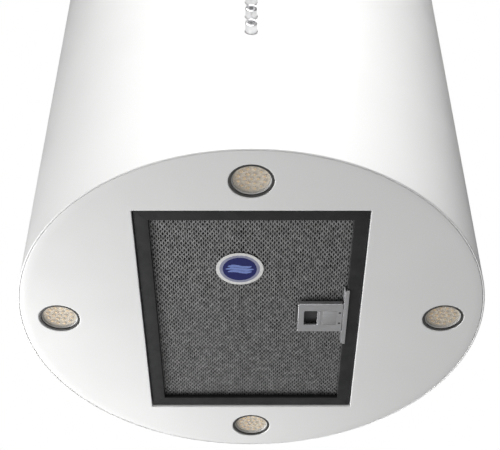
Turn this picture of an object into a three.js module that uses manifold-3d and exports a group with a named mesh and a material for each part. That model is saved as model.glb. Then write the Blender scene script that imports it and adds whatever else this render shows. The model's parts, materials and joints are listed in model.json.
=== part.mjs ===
// Island range hood: a round white shell hung from the ceiling, with a filter that swings down,
// four lamps, five push buttons and a blower with a duct collar inside.
// Millimetres, +Z up. The origin is the centre of the ceiling face; the controls face -Y.

import * as THREE from 'three';
import { mergeVertices } from 'three/addons/utils/BufferGeometryUtils.js';
import Module from 'manifold-3d';

const wasm = await Module();
wasm.setup();

// ---------------------------------------------------------------- driving sizes

const hoodHeight = 800; // ceiling face to the underside
const shellRadius = 200;
const shellWall = 1.2;
const panelSheet = 1.2;
const panelRim = 20; // height of the panel's turned-up edge
const panelClearance = 0.5; // between the panel's edge and the shell
const ceilingReveal = 1.5; // shadow line between the shell and the ceiling
const gap = 0.3; // between pieces that touch

const openingLength = 268; // filter opening, front to back
const openingWidth = 187.8; // filter opening, side to side
const openingFlange = 14; // height of the turned-up edge round the opening
const filterClearance = 0.7;
const filterRecess = 1.6; // filter's lower face above the panel's lower face
const filterHeight = 9;
const filterBar = 12; // width of the frame's bars
const meshRecess = 4; // mesh above the frame's lower face
const meshThickness = 4;
const meshSeat = 3; // how far the mesh reaches into the frame's groove
const stickerRadius = 19.8;

const lampCircle = 166; // radius on which the four lamps sit
const lampRadius = 15.8;
const bezelWall = 1.4;
const holeClearance = 0.3; // round a lamp in its bezel and a bezel in the panel

const buttonRadius = 5;
const buttonPitch = 20;
const buttonProud = 8.5; // how far a button stands out of the shell
const buttonTravel = 2.5;
const buttonClearance = 0.4;
const lowestButton = 142.5; // above the underside
const buttonNames = ['light', 'stop', 'low', 'medium', 'high'];

const boxHalfWidth = 125; // motor box, along X
const boxHalfLength = 140; // motor box, along Y
const boxHeight = 318;
const boxSheet = 1.2;

const plateThickness = 3; // ceiling plate
const ductHoleRadius = 90;
const boltCircle = 150;
const boltHoleRadius = 4.5;
const screwRadius = 2;
const screwDrop = 14; // shell screws below the ceiling
const strutLeg = 25;
const strutSheet = 2;

const wheelRadius = 80; // impeller
const wheelWidth = 80;
const bladeDepth = 15;
const bladeCount = 18;
const shaftRadius = 4;
const scrollClearance = 8; // between the impeller and the scroll at its tongue
const scrollGrowth = 40; // from the tongue round to the outlet
const scrollSheet = 1.5;
const inletLip = 18; // impeller's radius less the inlet's
const fanY = -30; // fan axis, in front of the hood's centre
const fanHeight = 160; // fan axis above the underside
const motorRadius = 45;
const motorLength = 60;

const collarRadius = 74.5;
const collarWall = 2;
const collarHeight = 70;
const collarLip = 4.5; // collar's square foot past the spigot
const flapSheet = 1.5;
const flapPinRadius = 1.5;

// ---------------------------------------------------------------- levels and edges worked out

const bottomZ = -hoodHeight;
const panelTopZ = bottomZ + panelSheet;
const shellInner = shellRadius - shellWall;
const panelRadius = shellInner - panelClearance;
const boxBottomZ = panelTopZ + gap;
const boxTopZ = boxBottomZ + boxHeight;
const deckZ = boxTopZ + gap; // what stands on the motor box starts here
const fanZ = bottomZ + fanHeight;
const scrollStart = wheelRadius + scrollClearance;
const scrollEnd = scrollStart + scrollGrowth;
const inletRadius = wheelRadius - inletLip;
const tongueAngle = Math.PI / 3; // where the scroll starts, from +Y towards +Z
const outletInnerY = fanY + scrollStart * Math.cos(tongueAngle);
const outletOuterY = fanY + scrollEnd;
const outletY = (outletInnerY + outletOuterY) / 2;
const housingHalf = wheelWidth / 2 + 5;
const openX = openingWidth / 2;
const openY = openingLength / 2;
const frameX = openX - filterClearance;
const frameY = openY - filterClearance;
const frameZ = bottomZ + filterRecess;
const windowX = frameX - filterBar;
const windowY = frameY - filterBar;
const meshZ = frameZ + meshRecess;
const bezelRadius = lampRadius + holeClearance + bezelWall;
const collarFlange = collarRadius + collarLip;
const buttonHeights = buttonNames.map((name, i) => bottomZ + lowestButton + i * buttonPitch);

// ---------------------------------------------------------------- finishes

function finish(color, roughness, metalness) {
  return new THREE.MeshStandardMaterial({ color, roughness, metalness });
}

const whitePaint = finish(0xf4f3f0, 0.35, 0.0);
const blackPaint = finish(0x1c1c1d, 0.45, 0.1);
const zincSheet = finish(0xa9adb0, 0.4, 0.9);
const silverPlastic = finish(0xc3c4c6, 0.3, 0.5);
const brightMetal = finish(0xc9cacc, 0.25, 1.0);
const meshMetal = finish(0x6f7072, 0.5, 0.8);
const darkPlastic = finish(0x2b2c2e, 0.5, 0.0);
const greyPlastic = finish(0x9a9c9f, 0.55, 0.0);
const boardGreen = finish(0x1f5a3a, 0.5, 0.0);
const ledFace = finish(0xcdbb9e, 0.4, 0.0);
const ceramic = finish(0xe8e4da, 0.5, 0.0);
const wireGrey = finish(0x77797c, 0.6, 0.0);
const stickerInk = finish(0x2a3f86, 0.4, 0.0);

// ---------------------------------------------------------------- making solids

function solid(geometry) {
  const bare = geometry.clone();
  bare.deleteAttribute('normal');
  bare.deleteAttribute('uv');
  const merged = mergeVertices(bare, 1e-4);
  const corners = merged.index.array;
  const kept = [];
  for (let i = 0; i < corners.length; i += 3) {
    const [a, b, c] = corners.slice(i, i + 3);
    if (a !== b && b !== c && c !== a) {
      kept.push(a, b, c);
    }
  }
  return new wasm.Manifold(
    new wasm.Mesh({
      numProp: 3,
      vertProperties: new Float32Array(merged.attributes.position.array),
      triVerts: new Uint32Array(kept),
    }),
  );
}

function join(first, ...rest) {
  return rest.reduce((sum, next) => sum.add(next), first);
}

function cut(first, ...rest) {
  return rest.reduce((left, next) => left.subtract(next), first);
}

// A block from its low to its high limit on each axis.
function block([x0, x1], [y0, y1], [z0, z1]) {
  const geometry = new THREE.BoxGeometry(x1 - x0, y1 - y0, z1 - z0);
  return solid(geometry.translate((x0 + x1) / 2, (y0 + y1) / 2, (z0 + z1) / 2));
}

// A block centred on one value with the same reach each way.
function about(centre, reach) {
  return [centre - reach, centre + reach];
}

// A profile of [radius, height] points, listed anticlockwise, turned about +Z.
function turned(profile, sides) {
  const points = profile.map(([radius, height]) => new THREE.Vector2(radius, height));
  return new THREE.LatheGeometry(points, sides).rotateX(Math.PI / 2);
}

// Axis +Z becomes +X or +Y.
function pointAlong(geometry, axis) {
  if (axis === 'x') {
    return geometry.rotateY(Math.PI / 2);
  }
  if (axis === 'y') {
    return geometry.rotateX(-Math.PI / 2);
  }
  return geometry;
}

function rod(axis, radius, [low, high], [u, v], sides = 20) {
  const profile = [[0, low], [radius, low], [radius, high], [0, high]];
  const geometry = pointAlong(turned(profile, sides), axis);
  const centre = { x: [0, u, v], y: [u, 0, v], z: [u, v, 0] }[axis];
  return solid(geometry.translate(...centre));
}

function ring(axis, outer, inner, [low, high], centre, sides = 32) {
  const outside = rod(axis, outer, [low, high], centre, sides);
  const inside = rod(axis, inner, [low - 1, high + 1], centre, sides);
  return cut(outside, inside);
}

// A rectangle with round corners, raised from low to high.
function roundedSlab(halfX, halfY, corner, [low, high], [x, y]) {
  const shape = new THREE.Shape();
  shape.moveTo(-halfX + corner, -halfY);
  shape.absarc(halfX - corner, -halfY + corner, corner, -Math.PI / 2, 0);
  shape.absarc(halfX - corner, halfY - corner, corner, 0, Math.PI / 2);
  shape.absarc(-halfX + corner, halfY - corner, corner, Math.PI / 2, Math.PI);
  shape.absarc(-halfX + corner, -halfY + corner, corner, Math.PI, 1.5 * Math.PI);
  const settings = { depth: high - low, bevelEnabled: false, curveSegments: 4 };
  return solid(new THREE.ExtrudeGeometry(shape, settings).translate(x, y, low));
}

function tube(curve, radius, sides, steps) {
  const section = new THREE.Shape();
  for (let i = 0; i < sides; i += 1) {
    const angle = (2 * Math.PI * i) / sides;
    const move = i === 0 ? 'moveTo' : 'lineTo';
    section[move](radius * Math.cos(angle), radius * Math.sin(angle));
  }
  const settings = { steps, bevelEnabled: false, extrudePath: curve };
  return solid(new THREE.ExtrudeGeometry(section, settings));
}

function mesh(name, material, body) {
  const data = body.getMesh();
  const geometry = new THREE.BufferGeometry();
  geometry.setAttribute('position', new THREE.BufferAttribute(data.vertProperties, 3));
  geometry.setIndex(new THREE.BufferAttribute(data.triVerts, 1));
  geometry.computeVertexNormals();
  const piece = new THREE.Mesh(geometry, material);
  piece.name = name;
  return piece;
}

const hood = new THREE.Group();

// ---------------------------------------------------------------- shell and bottom panel

const roundSides = 64;
const diagonals = [45, 135, 225, 315].map(THREE.MathUtils.degToRad);

function radialHole(radius, height, angle) {
  const from = shellRadius - 20;
  const to = shellRadius + 5;
  const profile = [[0, from], [radius, from], [radius, to], [0, to]];
  return solid(pointAlong(turned(profile, 12), 'x').rotateZ(angle).translate(0, 0, height));
}

function outerShell() {
  const wall = [
    [shellInner, bottomZ],
    [shellRadius - 0.6, bottomZ],
    [shellRadius, bottomZ + 0.6],
    [shellRadius, -ceilingReveal],
    [shellInner, -ceilingReveal],
    [shellInner, bottomZ],
  ];
  const span = [-shellRadius - 5, -shellRadius + 5];
  const buttonHoles = buttonHeights.map((z) => rod('y', buttonRadius + buttonClearance, span, [0, z]));
  const screwHoles = diagonals.map((angle) => radialHole(screwRadius + gap, -screwDrop, angle));
  return mesh('outer_shell', whitePaint, cut(solid(turned(wall, roundSides)), ...buttonHoles, ...screwHoles));
}

const hingeTongueY = 70; // filter's hinge tongues, either side of the middle
const hingeTongueHalf = 10;
const hingeTongueReach = 3.5;
const hingeTongueZ = [frameZ + 3, frameZ + 4.2];
const latchTongueHalf = 10;
const latchTongueZ = [frameZ + 1.2, frameZ + 2.4];

function bottomPanel() {
  const fold = 1;
  const pan = [
    [0, bottomZ],
    [panelRadius - fold, bottomZ],
    [panelRadius, bottomZ + fold],
    [panelRadius, bottomZ + panelRim],
    [panelRadius - panelSheet, bottomZ + panelRim],
    [panelRadius - panelSheet, panelTopZ],
    [0, panelTopZ],
  ];
  const lipZ = [bottomZ, bottomZ + openingFlange];
  const lip = block(about(0, openX + panelSheet), about(0, openY + panelSheet), lipZ);
  const opening = block(about(0, openX), about(0, openY), [bottomZ - 1, bottomZ + openingFlange + 1]);
  const slotZ = [hingeTongueZ[0] - 0.8, hingeTongueZ[0] + hingeTongueReach + 0.4];
  const hingeSlots = [-hingeTongueY, hingeTongueY].map((y) =>
    block([-openX - 2, -openX + 1], about(y, hingeTongueHalf + 0.8), slotZ),
  );
  const latchSlot = block(
    [openX - 1, openX + 2],
    about(0, latchTongueHalf + 0.8),
    [latchTongueZ[0] - 0.5, latchTongueZ[1] + 0.5],
  );
  const lampHoles = lampPlaces.map(({ x, y }) =>
    rod('z', bezelRadius + holeClearance, [bottomZ - 1, panelTopZ + 1], [x, y], lampSides),
  );
  const panel = join(solid(turned(pan, roundSides)), lip);
  return mesh('bottom_panel', whitePaint, cut(panel, opening, ...hingeSlots, latchSlot, ...lampHoles));
}

// ---------------------------------------------------------------- ceiling plate, struts and screws

const tabHalf = 12;
const tabOuter = shellInner - 2;
const tabDepth = 22;

function ceilingPlate() {
  const disc = rod('z', shellInner - 1.8, [-plateThickness, 0], [0, 0], 48);
  const tabs = diagonals.map((angle) => {
    const tab = new THREE.BoxGeometry(2, 2 * tabHalf, tabDepth + 1);
    return solid(tab.translate(tabOuter - 1, 0, -plateThickness + 1 - (tabDepth + 1) / 2).rotateZ(angle));
  });
  const through = [-plateThickness - 1, 1];
  const ductHole = rod('z', ductHoleRadius, through, [0, 0], 36);
  const bolts = [[1, 0], [0, 1], [-1, 0], [0, -1]].map(([x, y]) =>
    rod('z', boltHoleRadius, through, [x * boltCircle, y * boltCircle], 12),
  );
  const screwHoles = diagonals.map((angle) => radialHole(screwRadius + gap, -screwDrop, angle));
  return mesh('ceiling_plate', zincSheet, cut(join(disc, ...tabs), ductHole, ...bolts, ...screwHoles));
}

// An angle strut with a foot at each end, corner outwards at the local origin.
function strut(name, corner, turn) {
  const low = deckZ;
  const high = -plateThickness - gap;
  const legs = join(
    block([-strutLeg, 0], [-strutSheet, 0], [low, high]),
    block([-strutSheet, 0], [-strutLeg, 0], [low, high]),
    block([-strutLeg, 0], [-strutLeg, 0], [low, low + strutSheet]),
    block([-strutLeg, 0], [-strutLeg, 0], [high - strutSheet, high]),
  );
  const boltAt = [-strutLeg * 0.6, -strutLeg * 0.6];
  const boltHole = rod('z', 3, [low - 1, high + 1], boltAt, 10);
  const piece = mesh(name, zincSheet, cut(legs, boltHole));
  piece.position.set(corner[0] * boxHalfWidth, corner[1] * boxHalfLength, 0);
  piece.rotation.z = turn;
  return piece;
}

function shellScrew(name, angle) {
  const reach = 8; // thread inside the shell
  const underHead = reach + gap;
  const profile = [
    [0, 0],
    [screwRadius, 0],
    [screwRadius, underHead],
    [4, underHead],
    [4, underHead + 1.2],
    [3, underHead + 2],
    [0, underHead + 2],
  ];
  const piece = mesh(name, brightMetal, solid(pointAlong(turned(profile, 12), 'x')));
  const along = shellRadius - reach;
  piece.position.set(along * Math.cos(angle), along * Math.sin(angle), -screwDrop);
  piece.rotation.z = angle;
  return piece;
}

// ---------------------------------------------------------------- motor box and blower

const motorX = housingHalf + 12; // motor's inner face
const cableHole = [boxHalfWidth - 25, fanY + 5]; // where the motor's lead leaves the box
const leadRadius = 2.5;

function motorBox() {
  const shellBlock = block(about(0, boxHalfWidth), about(0, boxHalfLength), [boxBottomZ, boxTopZ]);
  const inside = block(
    about(0, boxHalfWidth - boxSheet),
    about(0, boxHalfLength - boxSheet),
    [boxBottomZ - 1, boxTopZ - boxSheet],
  );
  const through = [boxTopZ - boxSheet - 1, boxTopZ + 1];
  const outlet = block(
    about(0, housingHalf - scrollSheet),
    [outletInnerY + scrollSheet, outletOuterY - scrollSheet],
    through,
  );
  const leadHole = rod('z', leadRadius + 1.5, through, cableHole, 12);
  return mesh('motor_box', zincSheet, cut(shellBlock, inside, outlet, leadHole));
}

// The scroll's outline in the Y-Z plane, drawn in by an inset, with its outlet rising to a top level.
function scrollOutline(inset, topZ) {
  const wrap = 2 * Math.PI - tongueAngle;
  const tongueY = scrollStart * Math.cos(tongueAngle) + inset;
  const firstAngle = Math.acos(tongueY / (scrollStart - inset));
  const steps = 26;
  const shape = new THREE.Shape();
  shape.moveTo(fanY + tongueY, topZ);
  for (let i = 0; i <= steps; i += 1) {
    const angle = firstAngle + ((2 * Math.PI - firstAngle) * i) / steps;
    const radius = scrollStart + ((scrollEnd - scrollStart) * (angle - tongueAngle)) / wrap - inset;
    shape.lineTo(fanY + radius * Math.cos(angle), fanZ + radius * Math.sin(angle));
  }
  shape.lineTo(fanY + scrollEnd - inset, topZ);
  return shape;
}

function scrollSlab(inset, topZ, [x0, x1]) {
  const outline = scrollOutline(inset, topZ);
  const geometry = new THREE.ExtrudeGeometry(outline, { depth: x1 - x0, bevelEnabled: false });
  const axes = new THREE.Matrix4().makeBasis(
    new THREE.Vector3(0, 1, 0),
    new THREE.Vector3(0, 0, 1),
    new THREE.Vector3(1, 0, 0),
  );
  return solid(geometry.applyMatrix4(axes).translate(x0, 0, 0));
}

const housingTopZ = boxTopZ - boxSheet - gap;

function blowerHousing() {
  const wallEnd = housingHalf - scrollSheet;
  const outer = scrollSlab(0, housingTopZ, [-housingHalf, wallEnd]);
  const inner = scrollSlab(scrollSheet, housingTopZ + 1, [-housingHalf + scrollSheet, wallEnd + 1]);
  const inlet = rod('x', inletRadius, [-housingHalf - 1, -housingHalf + 5], [fanY, fanZ], 32);
  return mesh('blower_housing', zincSheet, cut(outer, inner, inlet));
}

const coverX = [housingHalf - scrollSheet + gap, housingHalf + gap];

function blowerCover() {
  const plate = scrollSlab(0, housingTopZ, coverX);
  const inlet = rod('x', inletRadius, [coverX[0] - 1, coverX[1] + 1], [fanY, fanZ], 32);
  return mesh('blower_cover', zincSheet, cut(plate, inlet));
}

function impeller() {
  const half = wheelWidth / 2;
  const endRing = 1.5;
  const ringInner = wheelRadius - bladeDepth - 0.5;
  const centre = [0, 0];
  let wheel = join(
    ring('x', wheelRadius + 0.5, ringInner, [-half, -half + endRing], centre, 24),
    ring('x', wheelRadius + 0.5, ringInner, [half - endRing, half], centre, 24),
    rod('x', wheelRadius - 0.5, [-1, 1], centre, 24),
    rod('x', 12, [-14, 14], centre, 16),
  );
  for (let i = 0; i < bladeCount; i += 1) {
    const blade = new THREE.BoxGeometry(wheelWidth - endRing, bladeDepth, 1.2);
    blade.rotateX(THREE.MathUtils.degToRad(30));
    blade.translate(0, wheelRadius - bladeDepth / 2 - 1, 0);
    blade.rotateX((2 * Math.PI * i) / bladeCount);
    wheel = wheel.add(solid(blade));
  }
  const piece = mesh('impeller', darkPlastic, cut(wheel, rod('x', shaftRadius + gap, [-20, 20], centre, 16)));
  piece.position.set(0, fanY, fanZ);
  return piece;
}

const shaftDepth = 32; // how far the shaft reaches into the motor

function motorShaft() {
  const shaft = rod('x', shaftRadius, [-20, motorX + shaftDepth], [0, 0], 16);
  const piece = mesh('motor_shaft', brightMetal, shaft);
  piece.position.set(0, fanY, fanZ);
  return piece;
}

function motor() {
  const bore = shaftRadius + gap;
  const boss = 18;
  const profile = [
    [0, shaftDepth + 2],
    [bore, shaftDepth + 2],
    [bore, 0],
    [boss, 0],
    [boss, 3],
    [motorRadius - 5, 3],
    [motorRadius, 8],
    [motorRadius, motorLength - 6],
    [motorRadius - 4, motorLength],
    [0, motorLength],
  ];
  const piece = mesh('motor', darkPlastic, solid(pointAlong(turned(profile, 28), 'x')));
  piece.position.set(motorX, fanY, fanZ);
  return piece;
}

// Three posts carry the motor's face plate in front of the blower's inlet.
function motorBracket() {
  const footX = coverX[1] + gap;
  const faceX = motorX - gap;
  const sheet = 2;
  const ringInner = inletRadius + 2;
  const armDirections = [90, 210, 330].map(THREE.MathUtils.degToRad);
  const foot = ring('x', ringInner + 8, ringInner, [footX, footX + sheet], [0, 0], 28);
  const face = ring('x', 38, 20, [faceX - sheet, faceX], [0, 0], 24);
  const arms = armDirections.map((angle) => {
    const arm = new THREE.BoxGeometry(sheet, ringInner + 8 - 30, 10);
    return solid(arm.translate(faceX - sheet / 2, (ringInner + 8 + 30) / 2, 0).rotateX(angle));
  });
  const posts = armDirections.map((angle) => {
    const post = new THREE.BoxGeometry(faceX - footX, 5, 10);
    return solid(post.translate((faceX + footX) / 2, ringInner + 4, 0).rotateX(angle));
  });
  const piece = mesh('motor_bracket', zincSheet, join(foot, face, ...arms, ...posts));
  piece.position.set(0, fanY, fanZ);
  return piece;
}

// ---------------------------------------------------------------- duct collar with its two flaps

const collarFootZ = [deckZ, deckZ + 2.5];
const flapZ = collarFootZ[1] + 12; // level of the flaps and their pin
const collarBore = collarRadius - collarWall;
const knuckleRadius = 3.2;
const flapEdge = 3.5; // straight edge of a flap from the pin's axis

function ductCollar() {
  const top = collarFootZ[1] + collarHeight;
  const centre = [0, outletY];
  const foot = block(about(0, collarFlange), about(outletY, collarFlange), collarFootZ);
  const spigot = rod('z', collarRadius, [collarFootZ[0], top], centre, 40);
  const ledgeTop = flapZ - flapSheet / 2 - gap;
  const upperBore = rod('z', collarBore, [ledgeTop, top + 1], centre, 40);
  const lowerBore = rod('z', collarBore, [collarFootZ[0] - 1, ledgeTop - 2], centre, 40);
  const ledgeBore = rod('z', collarBore - 3.5, [ledgeTop - 3, ledgeTop + 1], centre, 40);
  const pinHole = rod('x', flapPinRadius + gap, [-collarRadius - 1, collarRadius + 1], [outletY, flapZ], 12);
  return mesh('duct_collar', darkPlastic, cut(join(foot, spigot), upperBore, lowerBore, ledgeBore, pinHole));
}

function flapPin() {
  const reach = collarRadius - 0.5;
  return mesh('flap_pin', brightMetal, rod('x', flapPinRadius, [-reach, reach], [outletY, flapZ], 16));
}

// A half-disc on the side given by its sign along Y, with two knuckles round the pin.
function damperFlap(name, side, knuckleStarts) {
  const knuckleLength = 14;
  const radius = collarBore - 2;
  const disc = rod('z', radius, about(0, flapSheet / 2), [0, 0], 40);
  const half = [flapEdge, radius + 1].map((y) => side * y).sort((a, b) => a - b);
  let flap = disc.intersect(block(about(0, radius + 1), half, about(0, 2)));
  for (const start of knuckleStarts) {
    const reach = [2, flapEdge + 2].map((y) => side * y).sort((a, b) => a - b);
    flap = join(
      flap,
      rod('x', knuckleRadius, [start, start + knuckleLength], [0, 0], 16),
      block([start, start + knuckleLength], reach, about(0, flapSheet / 2)),
    );
  }
  flap = flap.subtract(rod('x', flapPinRadius + 0.2, [-radius - 1, radius + 1], [0, 0], 16));
  const piece = mesh(name, greyPlastic, flap);
  piece.position.set(0, outletY, flapZ);
  return piece;
}

// ---------------------------------------------------------------- electrical parts on the motor box

const traySheet = 1.2;
const trayX = [-70, 40];
const trayY = [15 - boxHalfLength, 95 - boxHalfLength];
const trayZ = [deckZ, deckZ + 40];
const standOff = 5;
const glandPlace = [-45, trayY[0] + 40];
const glandRadius = 6;

function controlBox() {
  const outer = block(trayX, trayY, trayZ);
  const inner = block(
    [trayX[0] + traySheet, trayX[1] - traySheet],
    [trayY[0] + traySheet, trayY[1] - traySheet],
    [trayZ[0] + traySheet, trayZ[1] + 1],
  );
  const postPlaces = [[-28, 8], [30, 8], [-28, 68], [30, 68]];
  const posts = postPlaces.map(([x, y]) =>
    rod('z', 2.5, [trayZ[0] + traySheet - 0.5, trayZ[0] + traySheet + standOff], [x, trayY[0] + y], 10),
  );
  return mesh('control_box', zincSheet, join(cut(outer, inner), ...posts));
}

function controlBoxLid() {
  const skirt = 8;
  const over = traySheet + gap;
  const outer = block(
    [trayX[0] - over, trayX[1] + over],
    [trayY[0] - over, trayY[1] + over],
    [trayZ[1] + gap - skirt, trayZ[1] + gap + traySheet],
  );
  const inner = block(
    [trayX[0] - gap, trayX[1] + gap],
    [trayY[0] - gap, trayY[1] + gap],
    [trayZ[1] - skirt - 1, trayZ[1] + gap],
  );
  const hole = rod('z', glandRadius + gap, [trayZ[1] - 1, trayZ[1] + 5], glandPlace, 16);
  return mesh('control_box_lid', zincSheet, cut(outer, inner, hole));
}

function controlBoard() {
  const low = trayZ[0] + traySheet + standOff + gap;
  const top = low + 1.6;
  const y = trayY[0];
  const board = join(
    block([-32, 34], [y + 4, y + 72], [low, top]),
    block([-28, -2], [y + 42, y + 66], [top - 0.2, top + 20]),
    block([4, 14], [y + 44, y + 64], [top - 0.2, top + 14]),
    block([17, 27], [y + 44, y + 64], [top - 0.2, top + 14]),
    block([-28, 26], [y + 10, y + 20], [top - 0.2, top + 11]),
    rod('z', 6, [top - 0.2, top + 16], [18, y + 32], 14),
    block([-24, -8], [y + 26, y + 36], [top - 0.2, top + 5]),
  );
  return mesh('control_board', boardGreen, board);
}

function motorCapacitor() {
  const radius = 12.5;
  const y = trayY[0] + traySheet;
  const z = trayZ[0] + traySheet + gap + radius;
  return mesh('motor_capacitor', greyPlastic, rod('y', radius, [y + 8, y + 66], [trayX[0] + 22, z], 20));
}

function cableGland() {
  const seat = trayZ[1] + gap + traySheet + gap;
  const profile = [
    [4, -10],
    [glandRadius, -10],
    [glandRadius, 0],
    [9, 0],
    [9, 6],
    [8, 7],
    [8, 15],
    [6, 18],
    [4, 18],
    [4, -10],
  ];
  const piece = mesh('cable_gland', darkPlastic, solid(turned(profile, 16)));
  piece.position.set(glandPlace[0], glandPlace[1], seat);
  return piece;
}

const driverX = [56, 93];
const driverY = [trayY[0], trayY[0] + 30];
const driverZ = [deckZ, deckZ + 22];

function ledDriver() {
  const middle = (driverY[0] + driverY[1]) / 2;
  const ears = block([driverX[0] - 4, driverX[1] + 4], about(middle, 8), [driverZ[0], driverZ[0] + 2]);
  return mesh('led_driver', darkPlastic, join(block(driverX, driverY, driverZ), ears));
}

// ---------------------------------------------------------------- push buttons

const capLength = buttonProud + 3;
const stemRadius = 2;
const stemLength = 11;
const switchFrontY = -shellRadius + 6;
const switchDepth = 18;
const switchHalf = 12;
const switchZ = [buttonHeights[0] - 12, buttonHeights[buttonHeights.length - 1] + 12];

function pushButton(name, height) {
  const profile = [
    [0, 0],
    [buttonRadius - 0.6, 0],
    [buttonRadius, 0.6],
    [buttonRadius, capLength],
    [stemRadius, capLength],
    [stemRadius, capLength + stemLength],
    [0, capLength + stemLength],
  ];
  const piece = mesh(name, silverPlastic, solid(pointAlong(turned(profile, 20), 'y')));
  piece.position.set(0, -shellRadius - buttonProud, height);
  return piece;
}

function switchBlock() {
  const body = block(about(0, switchHalf), [switchFrontY, switchFrontY + switchDepth], switchZ);
  const boreEnd = -shellRadius - buttonProud + capLength + stemLength + buttonTravel + 1;
  const bores = buttonHeights.map((z) =>
    rod('y', stemRadius + gap, [switchFrontY - 1, boreEnd], [0, z], 12),
  );
  return mesh('switch_block', darkPlastic, cut(body, ...bores));
}

function switchBracket() {
  const sheet = 1.5;
  const backY = switchFrontY + switchDepth + gap;
  const wallY = -boxHalfLength - gap;
  const [low, high] = [switchZ[0] + 8, switchZ[1] - 8];
  const across = about(0, switchHalf);
  return mesh('switch_bracket', zincSheet, join(
    block(across, [backY, backY + sheet], [low, high]),
    block(across, [backY, wallY], [low, low + sheet]),
    block(across, [backY, wallY], [high - sheet, high]),
    block(across, [wallY - sheet, wallY], [low - 12, low + sheet]),
    block(across, [wallY - sheet, wallY], [high - sheet, high + 12]),
  ));
}

// ---------------------------------------------------------------- lamps

const lampPlaces = [
  { name: 'front', x: 0, y: -lampCircle },
  { name: 'right', x: lampCircle, y: 0 },
  { name: 'rear', x: 0, y: lampCircle },
  { name: 'left', x: -lampCircle, y: 0 },
];
const lampSides = 20;
const lampFace = 1.6; // lamp's face above the underside
const lampDepth = 25.4;
const socketLength = 14;
const socketTopZ = bottomZ + lampFace + lampDepth + gap + socketLength;

function lampSet({ name, x, y }) {
  const group = new THREE.Group();
  const bore = lampRadius + holeClearance;
  const seat = panelSheet + gap;
  const bezel = [
    [bore, 0.4],
    [bezelRadius, 0.4],
    [bezelRadius, seat],
    [bezelRadius + 2.5, seat],
    [bezelRadius + 2.5, seat + 1.2],
    [bezelRadius, seat + 1.2],
    [bezelRadius, 12],
    [bore, 12],
    [bore, 0.4],
  ];
  const lamp = [
    [0, lampFace],
    [lampRadius - 0.4, lampFace],
    [lampRadius, lampFace + 0.4],
    [lampRadius, lampFace + 4.4],
    [9, lampFace + 18.4],
    [7, lampFace + 20.4],
    [7, lampFace + lampDepth],
    [0, lampFace + lampDepth],
  ];
  const socketLow = lampFace + lampDepth + gap;
  const socket = [
    [0, socketLow],
    [8, socketLow],
    [8, socketLow + socketLength - 1],
    [7, socketLow + socketLength],
    [0, socketLow + socketLength],
  ];
  group.add(mesh(`lamp_bezel_${name}`, darkPlastic, solid(turned(bezel, lampSides))));
  group.add(mesh(`led_lamp_${name}`, ledFace, solid(turned(lamp, lampSides))));
  group.add(mesh(`lamp_socket_${name}`, ceramic, solid(turned(socket, 16))));
  group.position.set(x, y, bottomZ);
  return group;
}

// ---------------------------------------------------------------- wiring

const wireSides = 8;
const wireSteps = 20;
const lampWireRadius = 2;
const wireOut = 25; // how far outside the motor box the lamp leads climb

function lead(name, radius, points) {
  const stops = points.map((point) => new THREE.Vector3(...point));
  const route = new THREE.CatmullRomCurve3(stops, false, 'centripetal');
  return mesh(name, wireGrey, tube(route, radius, wireSides, wireSteps));
}

function lampLeads() {
  const start = socketTopZ + gap;
  const over = deckZ + 14;
  const run = deckZ + 11;
  const sideX = boxHalfWidth + wireOut;
  const frontY = -boxHalfLength - 14;
  const rearY = boxHalfLength + 12;
  const driverMid = (driverX[0] + driverX[1]) / 2;
  const backWall = driverY[1] + gap;
  const corridorY = trayY[1] + 9;
  return [
    lead('lamp_cable_front', lampWireRadius, [
      [0, -lampCircle, start],
      [0, -lampCircle, start + 12],
      [24, frontY - 2, start + 70],
      [24, frontY, boxTopZ - 30],
      [30, frontY + 4, over],
      [60, frontY + 10, over + 4],
      [driverMid, driverY[0] - 8, run + 1],
      [driverMid, driverY[0] - gap, run],
    ]),
    lead('lamp_cable_right', lampWireRadius, [
      [lampCircle, 0, start],
      [lampCircle, 0, start + 12],
      [sideX, -12, start + 120],
      [sideX, -30, boxTopZ - 25],
      [sideX - 12, -60, over + 2],
      [boxHalfWidth - 12, driverY[1] - 12, over],
      [driverX[1] + 8, driverY[1] - 10, run],
      [driverX[1] + gap, driverY[1] - 10, run],
    ]),
    lead('lamp_cable_rear', lampWireRadius, [
      [0, lampCircle, start],
      [0, lampCircle, start + 12],
      [50, rearY, start + 130],
      [84, rearY, boxTopZ - 25],
      [90, rearY - 16, over],
      [90, 60, run],
      [90, -20, run],
      [driverX[1] - 6, -70, run],
      [driverX[1] - 6, backWall, run],
    ]),
    lead('lamp_cable_left', lampWireRadius, [
      [-lampCircle, 0, start],
      [-lampCircle, 0, start + 12],
      [-sideX, -12, start + 120],
      [-sideX, -26, boxTopZ - 25],
      [-sideX + 15, corridorY, over],
      [-60, corridorY, run],
      [40, corridorY, run],
      [driverX[0] + 12, corridorY - 14, run],
      [driverX[0] + 12, backWall, run],
    ]),
  ];
}

function buttonLead() {
  const top = switchZ[1] + gap;
  const y = switchFrontY + switchDepth / 2;
  return lead('button_cable', leadRadius, [
    [0, y, top],
    [0, y, top + 20],
    [-6, -boxHalfLength - 24, deckZ + 2],
    [-10, -boxHalfLength - 4, deckZ + 22],
    [-10, trayY[0] - 7, deckZ + 20],
    [-10, trayY[0] - gap, deckZ + 20],
  ]);
}

function motorLead() {
  const [x, y] = cableHole;
  return lead('motor_cable', leadRadius, [
    [x, fanY, fanZ + motorRadius + gap],
    [x, fanY, fanZ + motorRadius + 20],
    [x, y, boxTopZ - 30],
    [x, y, boxTopZ + 6],
    [x - 3, y - 2, deckZ + 26],
    [x - 26, y - 20, deckZ + 34],
    [trayX[1] + 12, trayY[1] - 16, deckZ + 26],
    [trayX[1] + gap, trayY[1] - 16, deckZ + 26],
  ]);
}

// ---------------------------------------------------------------- filter with its latch

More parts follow.
